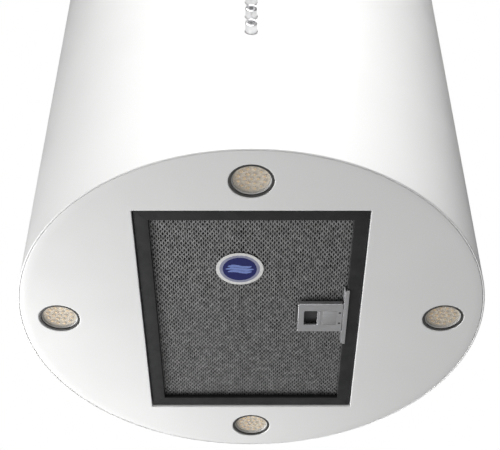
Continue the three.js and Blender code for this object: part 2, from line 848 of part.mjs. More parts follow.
function filterFrame() {
  const frameTop = frameZ + filterHeight;
  const outer = block(about(0, frameX), about(0, frameY), [frameZ, frameTop]);
  const window = block(about(0, windowX), about(0, windowY), [frameZ - 1, frameTop + 1]);
  const groove = block(
    about(0, windowX + meshSeat + gap),
    about(0, windowY + meshSeat + gap),
    [meshZ - gap, meshZ + meshThickness + gap],
  );
  const tongueSlot = block(
    [windowX - 1, frameX + 1],
    about(0, latchTongueHalf + 0.5),
    [latchTongueZ[0] - gap, latchTongueZ[1] + gap],
  );
  const hingeTongues = [-hingeTongueY, hingeTongueY].map((y) =>
    block([-frameX - hingeTongueReach, -frameX + 1], about(y, hingeTongueHalf), hingeTongueZ),
  );
  const frame = cut(outer, window, groove, tongueSlot);
  return mesh('filter_frame', blackPaint, join(frame, ...hingeTongues));
}

function filterMesh() {
  const pack = block(
    about(0, windowX + meshSeat),
    about(0, windowY + meshSeat),
    [meshZ, meshZ + meshThickness],
  );
  return mesh('filter_mesh', meshMetal, pack);
}

function filterSticker() {
  const place = [-9.6, -59.2];
  return mesh('filter_sticker', stickerInk, rod('z', stickerRadius, [meshZ - 0.6, meshZ - gap], place, 32));
}

const latchLowZ = bottomZ + 0.4;
const latchRight = windowX - 2.2; // slider's right edge, beside the strap
const latchWidth = 38.6;
const latchHalf = 18.8;
const latchSheet = 0.8;
const latchRimZ = meshZ - 1.6;
const latchPlateZ = [meshZ - 1.2, meshZ - 0.4];
const fingerX = 11.4; // finger hole
const fingerY = 19;
const fingerCorner = 1.5;
const fingerCentre = latchRight - 27.6;
const latchTravel = 8;
const springX = [latchRight - 17.8, latchRight - 3.4];
const springTabHalf = 2.5;
const strapHalf = 36.5;
const strapWidth = 3.8;

function latchSlider() {
  const left = latchRight - latchWidth;
  const sheet = 1;
  const pan = cut(
    block([left, latchRight], about(0, latchHalf), [latchLowZ, latchRimZ]),
    block(
      [left + sheet, latchRight - sheet],
      about(0, latchHalf - sheet),
      [latchLowZ + latchSheet, latchRimZ + 1],
    ),
  );
  const holeZ = [latchLowZ - 1, latchRimZ];
  const hole = roundedSlab(fingerX / 2, fingerY / 2, fingerCorner, holeZ, [fingerCentre, 0]);
  const springTab = block(
    [springX[1] + gap, springX[1] + gap + 1],
    about(0, springTabHalf),
    [latchLowZ + latchSheet - 0.2, latchRimZ],
  );
  const tongue = block([latchRight - sheet, frameX + gap], about(0, latchTongueHalf), latchTongueZ);
  return mesh('latch_slider', brightMetal, join(cut(pan, hole), springTab, tongue));
}

// A strap across the frame's inner edge, with a plate behind the slider that holds the spring
// and closes the space behind the finger hole wherever the slider stands.
function latchBase() {
  const strapX = latchRight + gap;
  const plateX = springX[0] - gap - 1;
  const pocketX = fingerCentre - fingerX / 2 - latchTravel;
  const legX = [strapX, strapX + 0.8];
  const legs = [[-strapHalf, -latchHalf - 1.1], [latchHalf + 1.1, strapHalf]].map((range) =>
    block(legX, range, [latchLowZ, latchPlateZ[1]]),
  );
  return mesh('latch_base', brightMetal, join(
    block([strapX, strapX + strapWidth], about(0, strapHalf), [latchLowZ, latchLowZ + 0.9]),
    ...legs,
    block([strapX - 0.8, legX[1]], about(0, strapHalf), latchPlateZ),
    block([pocketX, strapX], about(0, fingerY / 2 + 1), latchPlateZ),
    block([plateX, plateX + 1], about(0, springTabHalf), [latchLowZ + latchSheet + gap, latchPlateZ[1]]),
  ));
}

class Helix extends THREE.Curve {
  constructor(from, to, radius, turns, height) {
    super();
    Object.assign(this, { from, to, radius, turns, height });
  }

  getPoint(t, target = new THREE.Vector3()) {
    const angle = 2 * Math.PI * this.turns * t;
    const x = this.from + (this.to - this.from) * t;
    return target.set(x, this.radius * Math.cos(angle), this.height + this.radius * Math.sin(angle));
  }
}

function latchSpring() {
  const wire = 0.25;
  const coil = 0.95;
  const turns = 5;
  const height = (latchLowZ + latchSheet + latchRimZ) / 2;
  const path = new Helix(springX[0] + wire, springX[1] - wire, coil, turns, height);
  return mesh('latch_spring', brightMetal, tube(path, wire, 6, turns * 8));
}

// ---------------------------------------------------------------- assembly

hood.add(outerShell(), bottomPanel(), ceilingPlate());
[[1, 1], [-1, 1], [-1, -1], [1, -1]].forEach((corner, i) => {
  const ends = { '1,1': 'rear_right', '-1,1': 'rear_left', '-1,-1': 'front_left', '1,-1': 'front_right' };
  hood.add(strut(`frame_strut_${ends[corner.join()]}`, corner, (i * Math.PI) / 2));
});
diagonals.forEach((angle, i) => hood.add(shellScrew(`shell_screw_${i + 1}`, angle)));
hood.add(motorBox(), blowerHousing(), blowerCover(), impeller(), motorShaft(), motor(), motorBracket());
hood.add(ductCollar(), flapPin());
hood.add(damperFlap('damper_flap_front', -1, [-62, 12]), damperFlap('damper_flap_rear', 1, [-26, 48]));
hood.add(controlBox(), controlBoxLid(), controlBoard(), motorCapacitor(), cableGland(), ledDriver());
hood.add(switchBlock(), switchBracket());
buttonNames.forEach((name, i) => hood.add(pushButton(`button_${name}`, buttonHeights[i])));
lampPlaces.forEach((place) => hood.add(lampSet(place)));
hood.add(...lampLeads(), buttonLead(), motorLead());
hood.add(filterFrame(), filterMesh(), filterSticker(), latchBase(), latchSlider(), latchSpring());

export default hood;
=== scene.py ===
import json
from math import cos, pi, radians, sin

import bmesh
import bpy
from bpy.props import FloatProperty, FloatVectorProperty, IntProperty, PointerProperty
from mathutils import Matrix, Vector


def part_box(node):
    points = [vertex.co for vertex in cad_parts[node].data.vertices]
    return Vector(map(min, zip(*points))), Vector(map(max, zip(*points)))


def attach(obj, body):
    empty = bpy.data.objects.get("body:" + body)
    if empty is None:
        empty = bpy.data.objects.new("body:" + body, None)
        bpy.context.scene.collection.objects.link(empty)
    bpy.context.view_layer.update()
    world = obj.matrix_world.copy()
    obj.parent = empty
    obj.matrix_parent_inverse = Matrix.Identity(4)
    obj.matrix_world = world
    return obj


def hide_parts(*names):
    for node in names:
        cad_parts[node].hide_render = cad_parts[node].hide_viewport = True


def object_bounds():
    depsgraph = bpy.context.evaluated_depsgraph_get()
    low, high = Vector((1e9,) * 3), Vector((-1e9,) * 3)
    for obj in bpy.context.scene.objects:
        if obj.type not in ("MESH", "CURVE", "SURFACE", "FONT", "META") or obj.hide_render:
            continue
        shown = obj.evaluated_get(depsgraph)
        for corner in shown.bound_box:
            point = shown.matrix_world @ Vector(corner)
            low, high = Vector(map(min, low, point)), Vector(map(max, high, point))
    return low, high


bl_info = {
    "name": "Island Range Hood",
    "version": (1, 0, 0),
    "blender": (4, 5, 0),
    "location": "View3D > Sidebar > Hood",
    "description": "Makes the visible pieces, finishes and stage of a round ceiling-hung range hood",
    "category": "Add Mesh",
}

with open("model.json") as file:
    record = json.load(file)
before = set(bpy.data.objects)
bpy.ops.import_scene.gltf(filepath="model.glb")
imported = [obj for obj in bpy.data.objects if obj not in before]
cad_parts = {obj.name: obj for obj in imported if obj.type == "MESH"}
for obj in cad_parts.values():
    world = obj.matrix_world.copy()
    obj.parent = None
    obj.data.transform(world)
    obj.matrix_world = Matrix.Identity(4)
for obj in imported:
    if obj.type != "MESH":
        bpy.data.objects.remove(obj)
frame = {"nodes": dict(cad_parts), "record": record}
CAD_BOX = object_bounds()
MM = 0.001
SIDES = ("front", "right", "rear", "left")
BUTTONS = ("light", "stop", "low", "medium", "high")
STRAP_WIDTH = 3.8 * MM

FLOOR_DROP = 3.4
FLOOR_RADIUS = 12.0
AMBIENT = 0.11
BACKDROP = 1.0
CAMERA_SENSOR = 36.0
CAMERA_LENS = 81.85
CAMERA_TILT = 43.327
CAMERA_PLACE = (-0.00105, -0.77116, -0.6161)


# ------------------------------------------------------------------ sizes and colours

def length(label, help_text, default):
    return FloatProperty(name=label, description=help_text, default=default, min=0.0,
                         unit="LENGTH", precision=5)


def colour(label, help_text, default):
    return FloatVectorProperty(name=label, description=help_text, default=default, min=0.0, max=1.0,
                               size=4, subtype="COLOR")


class HoodSizes(bpy.types.PropertyGroup):
    """Sizes of the visible pieces that don't come from the frame"""

    sheet: length("Sheet", "Thickness of the shell and panel sheet", 1.2 * MM)
    fold_radius: length("Fold radius", "Outside radius of the panel's folded edge", 0.7 * MM)
    strand_width: length("Strand width", "Width of the expanded mesh's strands", 1.1 * MM)
    cell_width: length("Cell width", "Width of a cell in the outer mesh", 3.6 * MM)
    cell_length: length("Cell length", "Length of a cell in the outer mesh", 5.6 * MM)
    inner_cell: length("Inner cell", "Size of a cell in the mesh layers behind", 4.1 * MM)
    chip_size: length("LED size", "Side of one LED on a lamp's board", 2.9 * MM)
    bezel_lip: length("Bezel lip", "Width of the dark ring round a lamp", 2.0 * MM)
    round_steps: IntProperty(name="Round steps", description="Sides of a large round piece",
                             default=256, min=64)


class HoodColours(bpy.types.PropertyGroup):
    """Colours of the visible finishes"""

    paint: colour("Paint", "White powder coat of the shell and panel", (0.87, 0.87, 0.865, 1.0))
    filter_paint: colour("Filter paint", "Black paint of the filter's frame", (0.012, 0.012, 0.013, 1.0))
    mesh_metal: colour("Mesh metal", "Expanded mesh of the filter", (0.22, 0.22, 0.22, 1.0))
    latch_metal: colour("Latch metal", "Satin metal of the finger latch", (0.33, 0.33, 0.34, 1.0))
    button_metal: colour("Button metal", "Silver of the push buttons", (0.74, 0.74, 0.75, 1.0))
    # The ring's near-black is partly the dark bezel and partly painted shade for the gap round each lamp.
    lamp_ring: colour("Lamp ring", "Dark ring round each lamp", (0.022, 0.021, 0.02, 1.0))
    lamp_board: colour("Lamp board", "Board behind the lamp's lens", (0.78, 0.68, 0.53, 1.0))
    sticker_field: colour("Sticker field", "Round field of the filter's sticker", (0.006, 0.010, 0.10, 1.0))
    sticker_mark: colour("Sticker mark", "Waves of air on the filter's sticker", (0.20, 0.27, 0.60, 1.0))


# ------------------------------------------------------------------ outlines and sections

def circle(radius, centre=(0.0, 0.0), steps=64):
    return [(centre[0] + radius * cos(2 * pi * i / steps), centre[1] + radius * sin(2 * pi * i / steps))
            for i in range(steps)]


def rounded_rectangle(half_x, half_y, corner, centre=(0.0, 0.0), steps=6):
    points = []
    for quarter, (sx, sy) in enumerate(((1, 1), (-1, 1), (-1, -1), (1, -1))):
        for i in range(steps + 1):
            angle = (quarter + i / steps) * pi / 2
            points.append((centre[0] + sx * (half_x - corner) + corner * cos(angle),
                           centre[1] + sy * (half_y - corner) + corner * sin(angle)))
    return points


def rounded(points, radius, steps=4):
    """A closed outline with each corner rounded off, by no more than a third of its shorter side."""
    result = []
    for i, here in enumerate(points):
        here = Vector(here)
        before = Vector(points[i - 1]) - here
        after = Vector(points[(i + 1) % len(points)]) - here
        reach = min(radius, before.length / 3, after.length / 3)
        start = here + before.normalized() * reach
        end = here + after.normalized() * reach
        for k in range(steps + 1):
            t = k / steps
            result.append(tuple((1 - t) ** 2 * start + 2 * t * (1 - t) * here + t ** 2 * end))
    return result


def arc(centre, radius, start, end, steps=6):
    """Points on an arc, with its angles in degrees."""
    return [(centre[0] + radius * cos(radians(start + (end - start) * i / steps)),
             centre[1] + radius * sin(radians(start + (end - start) * i / steps)))
            for i in range(steps + 1)]


# ------------------------------------------------------------------ mesh making

def add_grid(bm, rows, closed_rows=True, closed_columns=True, material=0):
    """Faces between rows of points; each row is a ring of vertices."""
    made = [[bm.verts.new(point) for point in row] for row in rows]
    row_pairs = len(made) if closed_columns else len(made) - 1
    for i in range(row_pairs):
        low, high = made[i], made[(i + 1) % len(made)]
        columns = len(low) if closed_rows else len(low) - 1
        for k in range(columns):
            n = (k + 1) % len(low)
            face = bm.faces.new((low[k], low[n], high[n], high[k]))
            face.material_index = material
    return made


def add_turned(bm, profile, axis="Z", centre=(0, 0, 0), steps=96, material=0, closed=False):
    """Turns (radius, height) points about an axis; an open profile starts and ends on the axis."""
    centre = Vector(centre)
    turn = {"Z": Matrix.Identity(3), "X": Matrix.Rotation(pi / 2, 3, "Y"),
            "Y": Matrix.Rotation(-pi / 2, 3, "X")}[axis]
    ring = profile if closed else [p for p in profile if p[0] > 1e-9]
    rows = [[centre + turn @ Vector((r * cos(2 * pi * i / steps), r * sin(2 * pi * i / steps), h))
             for i in range(steps)] for r, h in ring]
    made = add_grid(bm, rows, closed_columns=closed, material=material)
    if not closed:
        for row, point, flip in ((made[0], profile[0], True), (made[-1], profile[-1], False)):
            pole = bm.verts.new(centre + turn @ Vector((0, 0, point[1])))
            for k in range(steps):
                pair = (row[(k + 1) % steps], row[k]) if flip else (row[k], row[(k + 1) % steps])
                bm.faces.new((*pair, pole)).material_index = material


def loop_normals(loop):
    """Outward corner directions of an anticlockwise loop, long enough to keep walls parallel."""
    result = []
    for i, here in enumerate(loop):
        before = (Vector(here) - Vector(loop[i - 1])).normalized()
        after = (Vector(loop[(i + 1) % len(loop)]) - Vector(here)).normalized()
        normal = (Vector((before.y, -before.x)) + Vector((after.y, -after.x))).normalized()
        result.append(normal / max(0.2, normal.dot(Vector((after.y, -after.x)))))
    return result


def add_edge_section(bm, loop, section, material=0, closed=True):
    """Sweeps a section of (outward, height) points round an anticlockwise loop in the XY plane."""
    normals = loop_normals(loop)
    rows = [[(p[0] + n.x * out, p[1] + n.y * out, height) for p, n in zip(loop, normals)]
            for out, height in section]
    add_grid(bm, rows, closed_columns=closed, material=material)


def add_flat(bm, loops, height, up, material=0):
    """Fills the area between an outer loop and the loops of its holes."""
    curve = bpy.data.curves.new("flat", "CURVE")
    curve.dimensions = "2D"
    curve.fill_mode = "BOTH"
    for loop in loops:
        spline = curve.splines.new("POLY")
        spline.points.add(len(loop) - 1)
        for point, (x, y) in zip(spline.points, loop):
            point.co = (x, y, 0, 1)
        spline.use_cyclic_u = True
    holder = bpy.data.objects.new("flat", curve)
    bpy.context.collection.objects.link(holder)
    mesh = bpy.data.meshes.new_from_object(holder)
    placed = [bm.verts.new((v.co.x, v.co.y, height)) for v in mesh.vertices]
    for polygon in mesh.polygons:
        corners = [placed[i] for i in polygon.vertices]
        a, b, c = (Vector(corner.co) for corner in corners[:3])
        if ((b - a).cross(c - a).z > 0) != up:
            corners.reverse()
        bm.faces.new(corners).material_index = material
    bpy.data.objects.remove(holder)
    bpy.data.curves.remove(curve)
    bpy.data.meshes.remove(mesh)


def add_plate(bm, loop, low, high, edge, material=0, lower_holes=()):
    """A flat piece with round edges, with its outline as the loop, and optional holes."""
    outline = [loop, *lower_holes]
    for index, ring in enumerate(outline):
        sign = -1 if index == 0 else 1
        lower = arc((sign * edge, low + edge), edge, 270, 360 if sign < 0 else 180, 3)
        upper = arc((sign * edge, high - edge), edge, 0 if sign < 0 else 180, 90, 3)
        add_edge_section(bm, ring, lower + upper, material, closed=False)
    for height, up in ((low, False), (high, True)):
        rings = []
        for index, ring in enumerate(outline):
            out = -edge if index == 0 else edge
            rings.append([(p[0] + n.x * out, p[1] + n.y * out) for p, n in zip(ring, loop_normals(ring))])
        add_flat(bm, rings, height, up, material)


def add_block(bm, low, high, edge=0.3 * MM, material=0, turn=None):
    """A block between two corners with bevelled edges."""
    made = bmesh.ops.create_cube(bm, size=1.0)["verts"]
    low, high = Vector(low), Vector(high)
    for vert in made:
        vert.co = Vector((low[i] + (vert.co[i] + 0.5) * (high[i] - low[i]) for i in range(3)))
        if turn is not None:
            vert.co = turn @ vert.co
    faces = {face for vert in made for face in vert.link_faces}
    for face in faces:
        face.material_index = material
    edges = list({e for vert in made for e in vert.link_edges})
    bmesh.ops.bevel(bm, geom=edges, offset=edge, segments=2, profile=0.5, affect="EDGES")


def finish_mesh(bm, name, merge=1e-6, sharp=35.0):
    bmesh.ops.remove_doubles(bm, verts=bm.verts, dist=merge)
    bmesh.ops.recalc_face_normals(bm, faces=bm.faces)
    mesh = bpy.data.meshes.new(name)
    bm.to_mesh(mesh)
    bm.free()
    mesh.shade_smooth()
    mesh.set_sharp_from_angle(angle=radians(sharp))
    return mesh


def place(name, mesh, body, materials, nodes=()):
    """Puts a finished mesh in the scene, on its body and in the place of the CAD nodes it stands for."""
    piece = bpy.data.objects.new(name, mesh)
    bpy.context.collection.objects.link(piece)
    for material in materials:
        mesh.materials.append(material)
    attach(piece, body)
    if nodes:
        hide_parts(*nodes)
    return piece


def cut_away(mesh, cutter_mesh, sharp=35.0):
    """The mesh with the cutter's solid taken out of it."""
    target = bpy.data.objects.new("target", mesh)
    cutter = bpy.data.objects.new("cutter", cutter_mesh)
    for obj in (target, cutter):
        bpy.context.collection.objects.link(obj)
    modifier = target.modifiers.new("cut", "BOOLEAN")
    modifier.object = cutter
    modifier.operation = "DIFFERENCE"
    modifier.solver = "EXACT"
    depsgraph = bpy.context.evaluated_depsgraph_get()
    result = bpy.data.meshes.new_from_object(target.evaluated_get(depsgraph))
    for obj in (target, cutter):
        bpy.data.objects.remove(obj)
    if not result.polygons:
        raise RuntimeError(f"Cutting {cutter_mesh.name} out of {mesh.name} left nothing")
    result.shade_smooth()
    result.set_sharp_from_angle(angle=radians(sharp))
    return result


# ------------------------------------------------------------------ finishes

class Finish:
    """A procedural material: one Principled shader, with noise and patterns in metres on the piece."""

    def __init__(self, name, base, roughness, metallic=0.0, **sockets):
        self.material = bpy.data.materials.new(name)
        self.material.use_nodes = True
        self.tree = self.material.node_tree
        self.shader = self.tree.nodes["Principled BSDF"]
        self.shader.inputs["Base Color"].default_value = base
        self.shader.inputs["Roughness"].default_value = roughness
        self.shader.inputs["Metallic"].default_value = metallic
        for label, value in sockets.items():
            self.shader.inputs[label.replace("_", " ")].default_value = value
        self.normal = None

    def node(self, kind, **settings):
        node = self.tree.nodes.new(kind)
        for label, value in settings.items():
            setattr(node, label, value)
        return node

    def link(self, source, target):
        self.tree.links.new(source, target)

    def place_texture(self, texture, stretch):
        coordinates = self.node("ShaderNodeTexCoord")
        mapping = self.node("ShaderNodeMapping")
        mapping.inputs["Scale"].default_value = stretch
        self.link(coordinates.outputs["Object"], mapping.inputs["Vector"])
        self.link(mapping.outputs["Vector"], texture.inputs["Vector"])

    def noise(self, scale, detail=3.0, stretch=(1, 1, 1)):
        texture = self.node("ShaderNodeTexNoise")
        texture.inputs["Scale"].default_value = scale
        texture.inputs["Detail"].default_value = detail
        self.place_texture(texture, stretch)
        return texture.outputs["Fac"]

    def cells(self, scale, stretch=(1, 1, 1), feature="F1"):
        texture = self.node("ShaderNodeTexVoronoi", feature=feature)
        texture.inputs["Scale"].default_value = scale
        self.place_texture(texture, stretch)
        return texture

    def ramp(self, source, low, high, values):
        """Maps a pattern to colours between two of its levels."""
        ramp = self.node("ShaderNodeValToRGB")
        ramp.color_ramp.elements[0].position = low
        ramp.color_ramp.elements[1].position = high
        ramp.color_ramp.elements[0].color = values[0]
        ramp.color_ramp.elements[1].color = values[1]
        self.link(source, ramp.inputs["Fac"])
        return ramp.outputs["Color"]

    def tint(self, source, low, high, first, second):
        self.link(self.ramp(source, low, high, (first, second)), self.shader.inputs["Base Color"])
        return self

    def polish(self, source, first, second):
        """Roughness that wanders between two values with a pattern."""
        spread = self.node("ShaderNodeMapRange")
        spread.inputs["From Min"].default_value = 0.3
        spread.inputs["From Max"].default_value = 0.7
        spread.inputs["To Min"].default_value = first
        spread.inputs["To Max"].default_value = second
        self.link(source, spread.inputs["Value"])
        self.link(spread.outputs["Result"], self.shader.inputs["Roughness"])
        return self

    def relief(self, source, depth, strength=1.0):
        """Adds a bump of a depth in metres to the surface."""
        bump = self.node("ShaderNodeBump")
        bump.inputs["Distance"].default_value = depth
        bump.inputs["Strength"].default_value = strength
        self.link(source, bump.inputs["Height"])
        if self.normal is not None:
            self.link(self.normal, bump.inputs["Normal"])
        self.normal = bump.outputs["Normal"]
        self.link(self.normal, self.shader.inputs["Normal"])
        return self


def shade(colour_value, factor):
    return (*(min(1.0, c * factor) for c in colour_value[:3]), 1.0)


def powder_coat(name, base):
    finish = Finish(name, base, 0.38, Coat_Weight=0.15)
    finish.tint(finish.noise(9.0, 2.0), 0.35, 0.65, shade(base, 0.985), shade(base, 1.01))
    finish.polish(finish.noise(40.0), 0.32, 0.42)
    finish.relief(finish.noise(900.0, 2.0), 0.02 * MM, 0.5)
    return finish.material


def black_paint(name, base):
    finish = Finish(name, base, 0.6, Specular_IOR_Level=0.22)
    finish.tint(finish.noise(60.0), 0.35, 0.7, shade(base, 0.8), shade(base, 1.5))
    finish.polish(finish.noise(130.0), 0.52, 0.7)
    finish.relief(finish.noise(1500.0, 3.0), 0.03 * MM, 0.6)
    return finish.material


def expanded_metal(name, base, roughness=0.52):
    finish = Finish(name, base, roughness, 0.6)
    finish.tint(finish.noise(190.0, 4.0), 0.3, 0.7, shade(base, 0.55), shade(base, 1.25))
    finish.polish(finish.noise(400.0), roughness - 0.1, roughness + 0.12)
    finish.relief(finish.noise(2500.0, 2.0), 0.03 * MM, 0.7)
    return finish.material


def brushed_metal(name, base, roughness=0.33, along=(30, 1, 30)):
    finish = Finish(name, base, roughness, 0.9)
    grain = finish.noise(90.0, 4.0, along)
    finish.tint(grain, 0.3, 0.7, shade(base, 0.88), shade(base, 1.1))
    finish.polish(grain, roughness - 0.07, roughness + 0.1)
    finish.relief(grain, 0.01 * MM, 0.4)
    return finish.material


def galvanised_sheet():
    base = (0.46, 0.48, 0.5, 1.0)
    finish = Finish("galvanised_sheet", base, 0.38, 0.9)
    spangle = finish.cells(110.0)
    finish.tint(spangle.outputs["Color"], 0.1, 0.9, shade(base, 0.93), shade(base, 1.06))
    finish.polish(spangle.outputs["Distance"], 0.36, 0.42)
    finish.relief(finish.noise(700.0), 0.01 * MM, 0.5)
    return finish.material


def moulded_plastic(name, base, roughness=0.5):
    finish = Finish(name, base, roughness)
    finish.tint(finish.noise(80.0), 0.3, 0.7, shade(base, 0.9), shade(base, 1.1))
    finish.polish(finish.noise(240.0), roughness - 0.06, roughness + 0.08)
    finish.relief(finish.noise(2200.0, 2.0), 0.02 * MM, 0.8)
    return finish.material


def printed_paper(name, base):
    finish = Finish(name, base, 0.5, Specular_IOR_Level=0.25)
    finish.tint(finish.noise(350.0, 4.0), 0.3, 0.7, shade(base, 0.9), shade(base, 1.07))
    finish.relief(finish.noise(1800.0), 0.01 * MM, 0.5)
    return finish.material


def lamp_phosphor():
    base = (0.84, 0.60, 0.30, 1.0)
    finish = Finish("lamp_phosphor", base, 0.45)
    finish.tint(finish.noise(1500.0), 0.3, 0.7, shade(base, 0.85), shade(base, 1.12))
    finish.relief(finish.noise(2500.0), 0.02 * MM, 0.6)
    return finish.material


def lamp_lens():
    finish = Finish("lamp_lens", (0.95, 0.93, 0.88, 1.0), 0.12, IOR=1.46, Alpha=0.18)
    finish.polish(finish.noise(500.0), 0.1, 0.2)
    return finish.material


def circuit_board():
    base = (0.012, 0.09, 0.035, 1.0)
    finish = Finish("circuit_board", base, 0.3, Coat_Weight=0.4)
    tracks = finish.cells(220.0, feature="DISTANCE_TO_EDGE")
    finish.tint(tracks.outputs["Distance"], 0.04, 0.08, shade(base, 2.2), base)
    finish.relief(tracks.outputs["Distance"], 0.03 * MM, 0.5)
    return finish.material


def cable_sheath():
    base = (0.12, 0.12, 0.125, 1.0)
    finish = Finish("cable_sheath", base, 0.55)
    finish.tint(finish.noise(300.0), 0.3, 0.7, shade(base, 0.85), shade(base, 1.2))
    finish.relief(finish.noise(1200.0), 0.02 * MM, 0.7)
    return finish.material


def fired_clay():
    base = (0.78, 0.75, 0.68, 1.0)
    finish = Finish("socket_ceramic", base, 0.6)
    finish.tint(finish.noise(500.0, 5.0), 0.3, 0.7, shade(base, 0.9), shade(base, 1.05))
    finish.relief(finish.noise(1600.0, 4.0), 0.04 * MM, 0.7)
    return finish.material


# ------------------------------------------------------------------ shell and bottom panel

def make_shell(sizes, colours):
    low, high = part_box("outer_shell")
    outer = high[0]
    inner = outer - sizes.sheet
    hem = 0.8 * MM
    profile = [(inner, high[2]), (inner, low[2] + 5 * MM), (outer - 2 * hem, low[2] + 4.4 * MM),
               *arc((outer - hem, low[2] + hem), hem, 180, 360, 12), (outer, high[2])]
    button_levels = [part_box(f"button_{name}") for name in BUTTONS]
    near = [b[0][2] - 4 * MM for b in button_levels] + [b[1][2] + 4 * MM for b in button_levels]
    profile[-1:-1] = [(outer, z) for z in sorted((min(near), max(near)))]
    bm = bmesh.new()
    add_turned(bm, profile, steps=sizes.round_steps, closed=True)
    body = finish_mesh(bm, "body_shell")
    holes = bmesh.new()
    clearance = 0.4 * MM
    for box_low, box_high in button_levels:
        radius = (box_high[0] - box_low[0]) / 2 + clearance
        level = (box_low[2] + box_high[2]) / 2
        add_turned(holes, [(0, -outer - 5 * MM), (radius, -outer - 5 * MM), (radius, -outer + 8 * MM),
                           (0, -outer + 8 * MM)], axis="Y", centre=(0, 0, level), steps=40)
    for index in range(1, 5):
        screw_low, screw_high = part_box(f"shell_screw_{index}")
        middle = (Vector(screw_low) + Vector(screw_high)) / 2
        angle = Vector((middle.x, middle.y)).angle_signed(Vector((1, 0)))
        turn = Matrix.Rotation(angle, 3, "Z")
        drill = bmesh.new()
        add_turned(drill, [(0, inner - 9 * MM), (2.3 * MM, inner - 9 * MM), (2.3 * MM, outer + 5 * MM),
                           (0, outer + 5 * MM)], axis="X", steps=24)
        for vert in drill.verts:
            vert.co = turn @ vert.co + Vector((0, 0, middle.z))
        temporary = bpy.data.meshes.new("drill")
        drill.to_mesh(temporary)
        drill.free()
        holes.from_mesh(temporary)
        bpy.data.meshes.remove(temporary)
    cutter = finish_mesh(holes, "holes")
    shell = cut_away(body, cutter)
    coat = powder_coat("shell_white", colours.paint)
    place("body_shell", shell, "hood", [coat], ["outer_shell"])


def make_bottom_panel(sizes, colours):
    low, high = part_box("bottom_panel")
    floor, sheet = low[2], sizes.sheet
    top = floor + sheet
    fold = sizes.fold_radius
    flat_radius = high[0] - 8 * MM
    bm = bmesh.new()
    steps = sizes.round_steps
    rim_loop = circle(flat_radius, steps=steps)
    out = high[0] - flat_radius
    section = [(0, floor), *arc((out - fold, floor + fold), fold, 270, 360), (out, high[2] - 0.4 * MM),
               (out - 0.4 * MM, high[2]), (out - sheet + 0.2 * MM, high[2]),
               (out - sheet, high[2] - 0.2 * MM),
               *arc((out - sheet - 0.5 * MM, top + 0.5 * MM), 0.5 * MM, 0, -90, 3), (0, top)]
    add_edge_section(bm, rim_loop, section, closed=False)
    hinge_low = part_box("filter_frame")[0]
    clearance = 0.7 * MM
    open_x = abs(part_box("filter_frame")[1][0]) + clearance
    open_y = abs(hinge_low[1]) + clearance
    lip = 1.5 * MM
    opening = rounded_rectangle(open_x + lip, open_y + lip, lip + 0.4 * MM)
    flange_top = floor + 14 * MM
    lip_section = [(0, floor), *arc((-lip + 0.5 * MM, floor + 0.5 * MM), 0.5 * MM, 270, 180, 4),
                   (-lip, flange_top), (-lip + sheet, flange_top), (-lip + sheet, top), (0, top)]
    add_edge_section(bm, opening, lip_section, closed=False)
    lamp_loops = []
    for name in SIDES:
        bezel_low, bezel_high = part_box(f"lamp_bezel_{name}")
        centre = ((bezel_low[0] + bezel_high[0]) / 2, (bezel_low[1] + bezel_high[1]) / 2)
        hole = 17.8 * MM
        loop = circle(hole + lip, centre, 96)
        roll = [(0, floor), *arc((-lip + 0.45 * MM, floor + 0.45 * MM), 0.45 * MM, 270, 180, 4),
                (-lip, top - 0.2 * MM), (-lip + 0.2 * MM, top), (0, top)]
        add_edge_section(bm, loop, roll, closed=False)
        lamp_loops.append(loop)
    add_flat(bm, [rim_loop, opening, *lamp_loops], floor, up=False)
    add_flat(bm, [rim_loop, opening, *lamp_loops], top, up=True)
    panel = finish_mesh(bm, "base_panel", sharp=40)
    coat = powder_coat("panel_white", colours.paint)
    place("base_panel", panel, "hood", [coat], ["bottom_panel"])


# ------------------------------------------------------------------ lamps

def make_lamps(sizes, colours):
    # The rings' near-black is partly a dark bezel and partly painted shade for the gap round each lamp.
    ring = moulded_plastic("lamp_ring", colours.lamp_ring, 0.38)
    board = moulded_plastic("lamp_board", colours.lamp_board, 0.5)
    phosphor = lamp_phosphor()
    lens = lamp_lens()
    body = moulded_plastic("lamp_body", (0.62, 0.62, 0.62, 1.0), 0.4)
    for name in SIDES:
        make_bezel(name, sizes, ring)
        make_lamp(name, sizes, (body, board, phosphor, lens))


def centre_of(node):
    low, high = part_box(node)
    return (Vector(low) + Vector(high)) / 2


def make_bezel(name, sizes, ring):
    node = f"lamp_bezel_{name}"
    low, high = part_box(node)
    centre = centre_of(node)
    flange = (high[0] - low[0]) / 2
    outer = flange - 2.5 * MM
    inner = outer - sizes.bezel_lip
    base = low[2]
    lamp_rim = outer - 1.3 * MM
    profile = rounded([(inner, base), (outer, base), (outer, base + 1.1 * MM), (flange, base + 1.1 * MM),
                       (flange, base + 2.3 * MM), (outer, base + 2.3 * MM), (outer, high[2]),
                       (lamp_rim, high[2]), (lamp_rim, base + 0.9 * MM), (inner, base + 0.9 * MM)], 0.35 * MM)
    bm = bmesh.new()
    add_turned(bm, profile, centre=(centre.x, centre.y, 0), steps=96, closed=True)
    place(f"bezel_{name}", finish_mesh(bm, f"bezel_{name}"), "hood", [ring], [node])


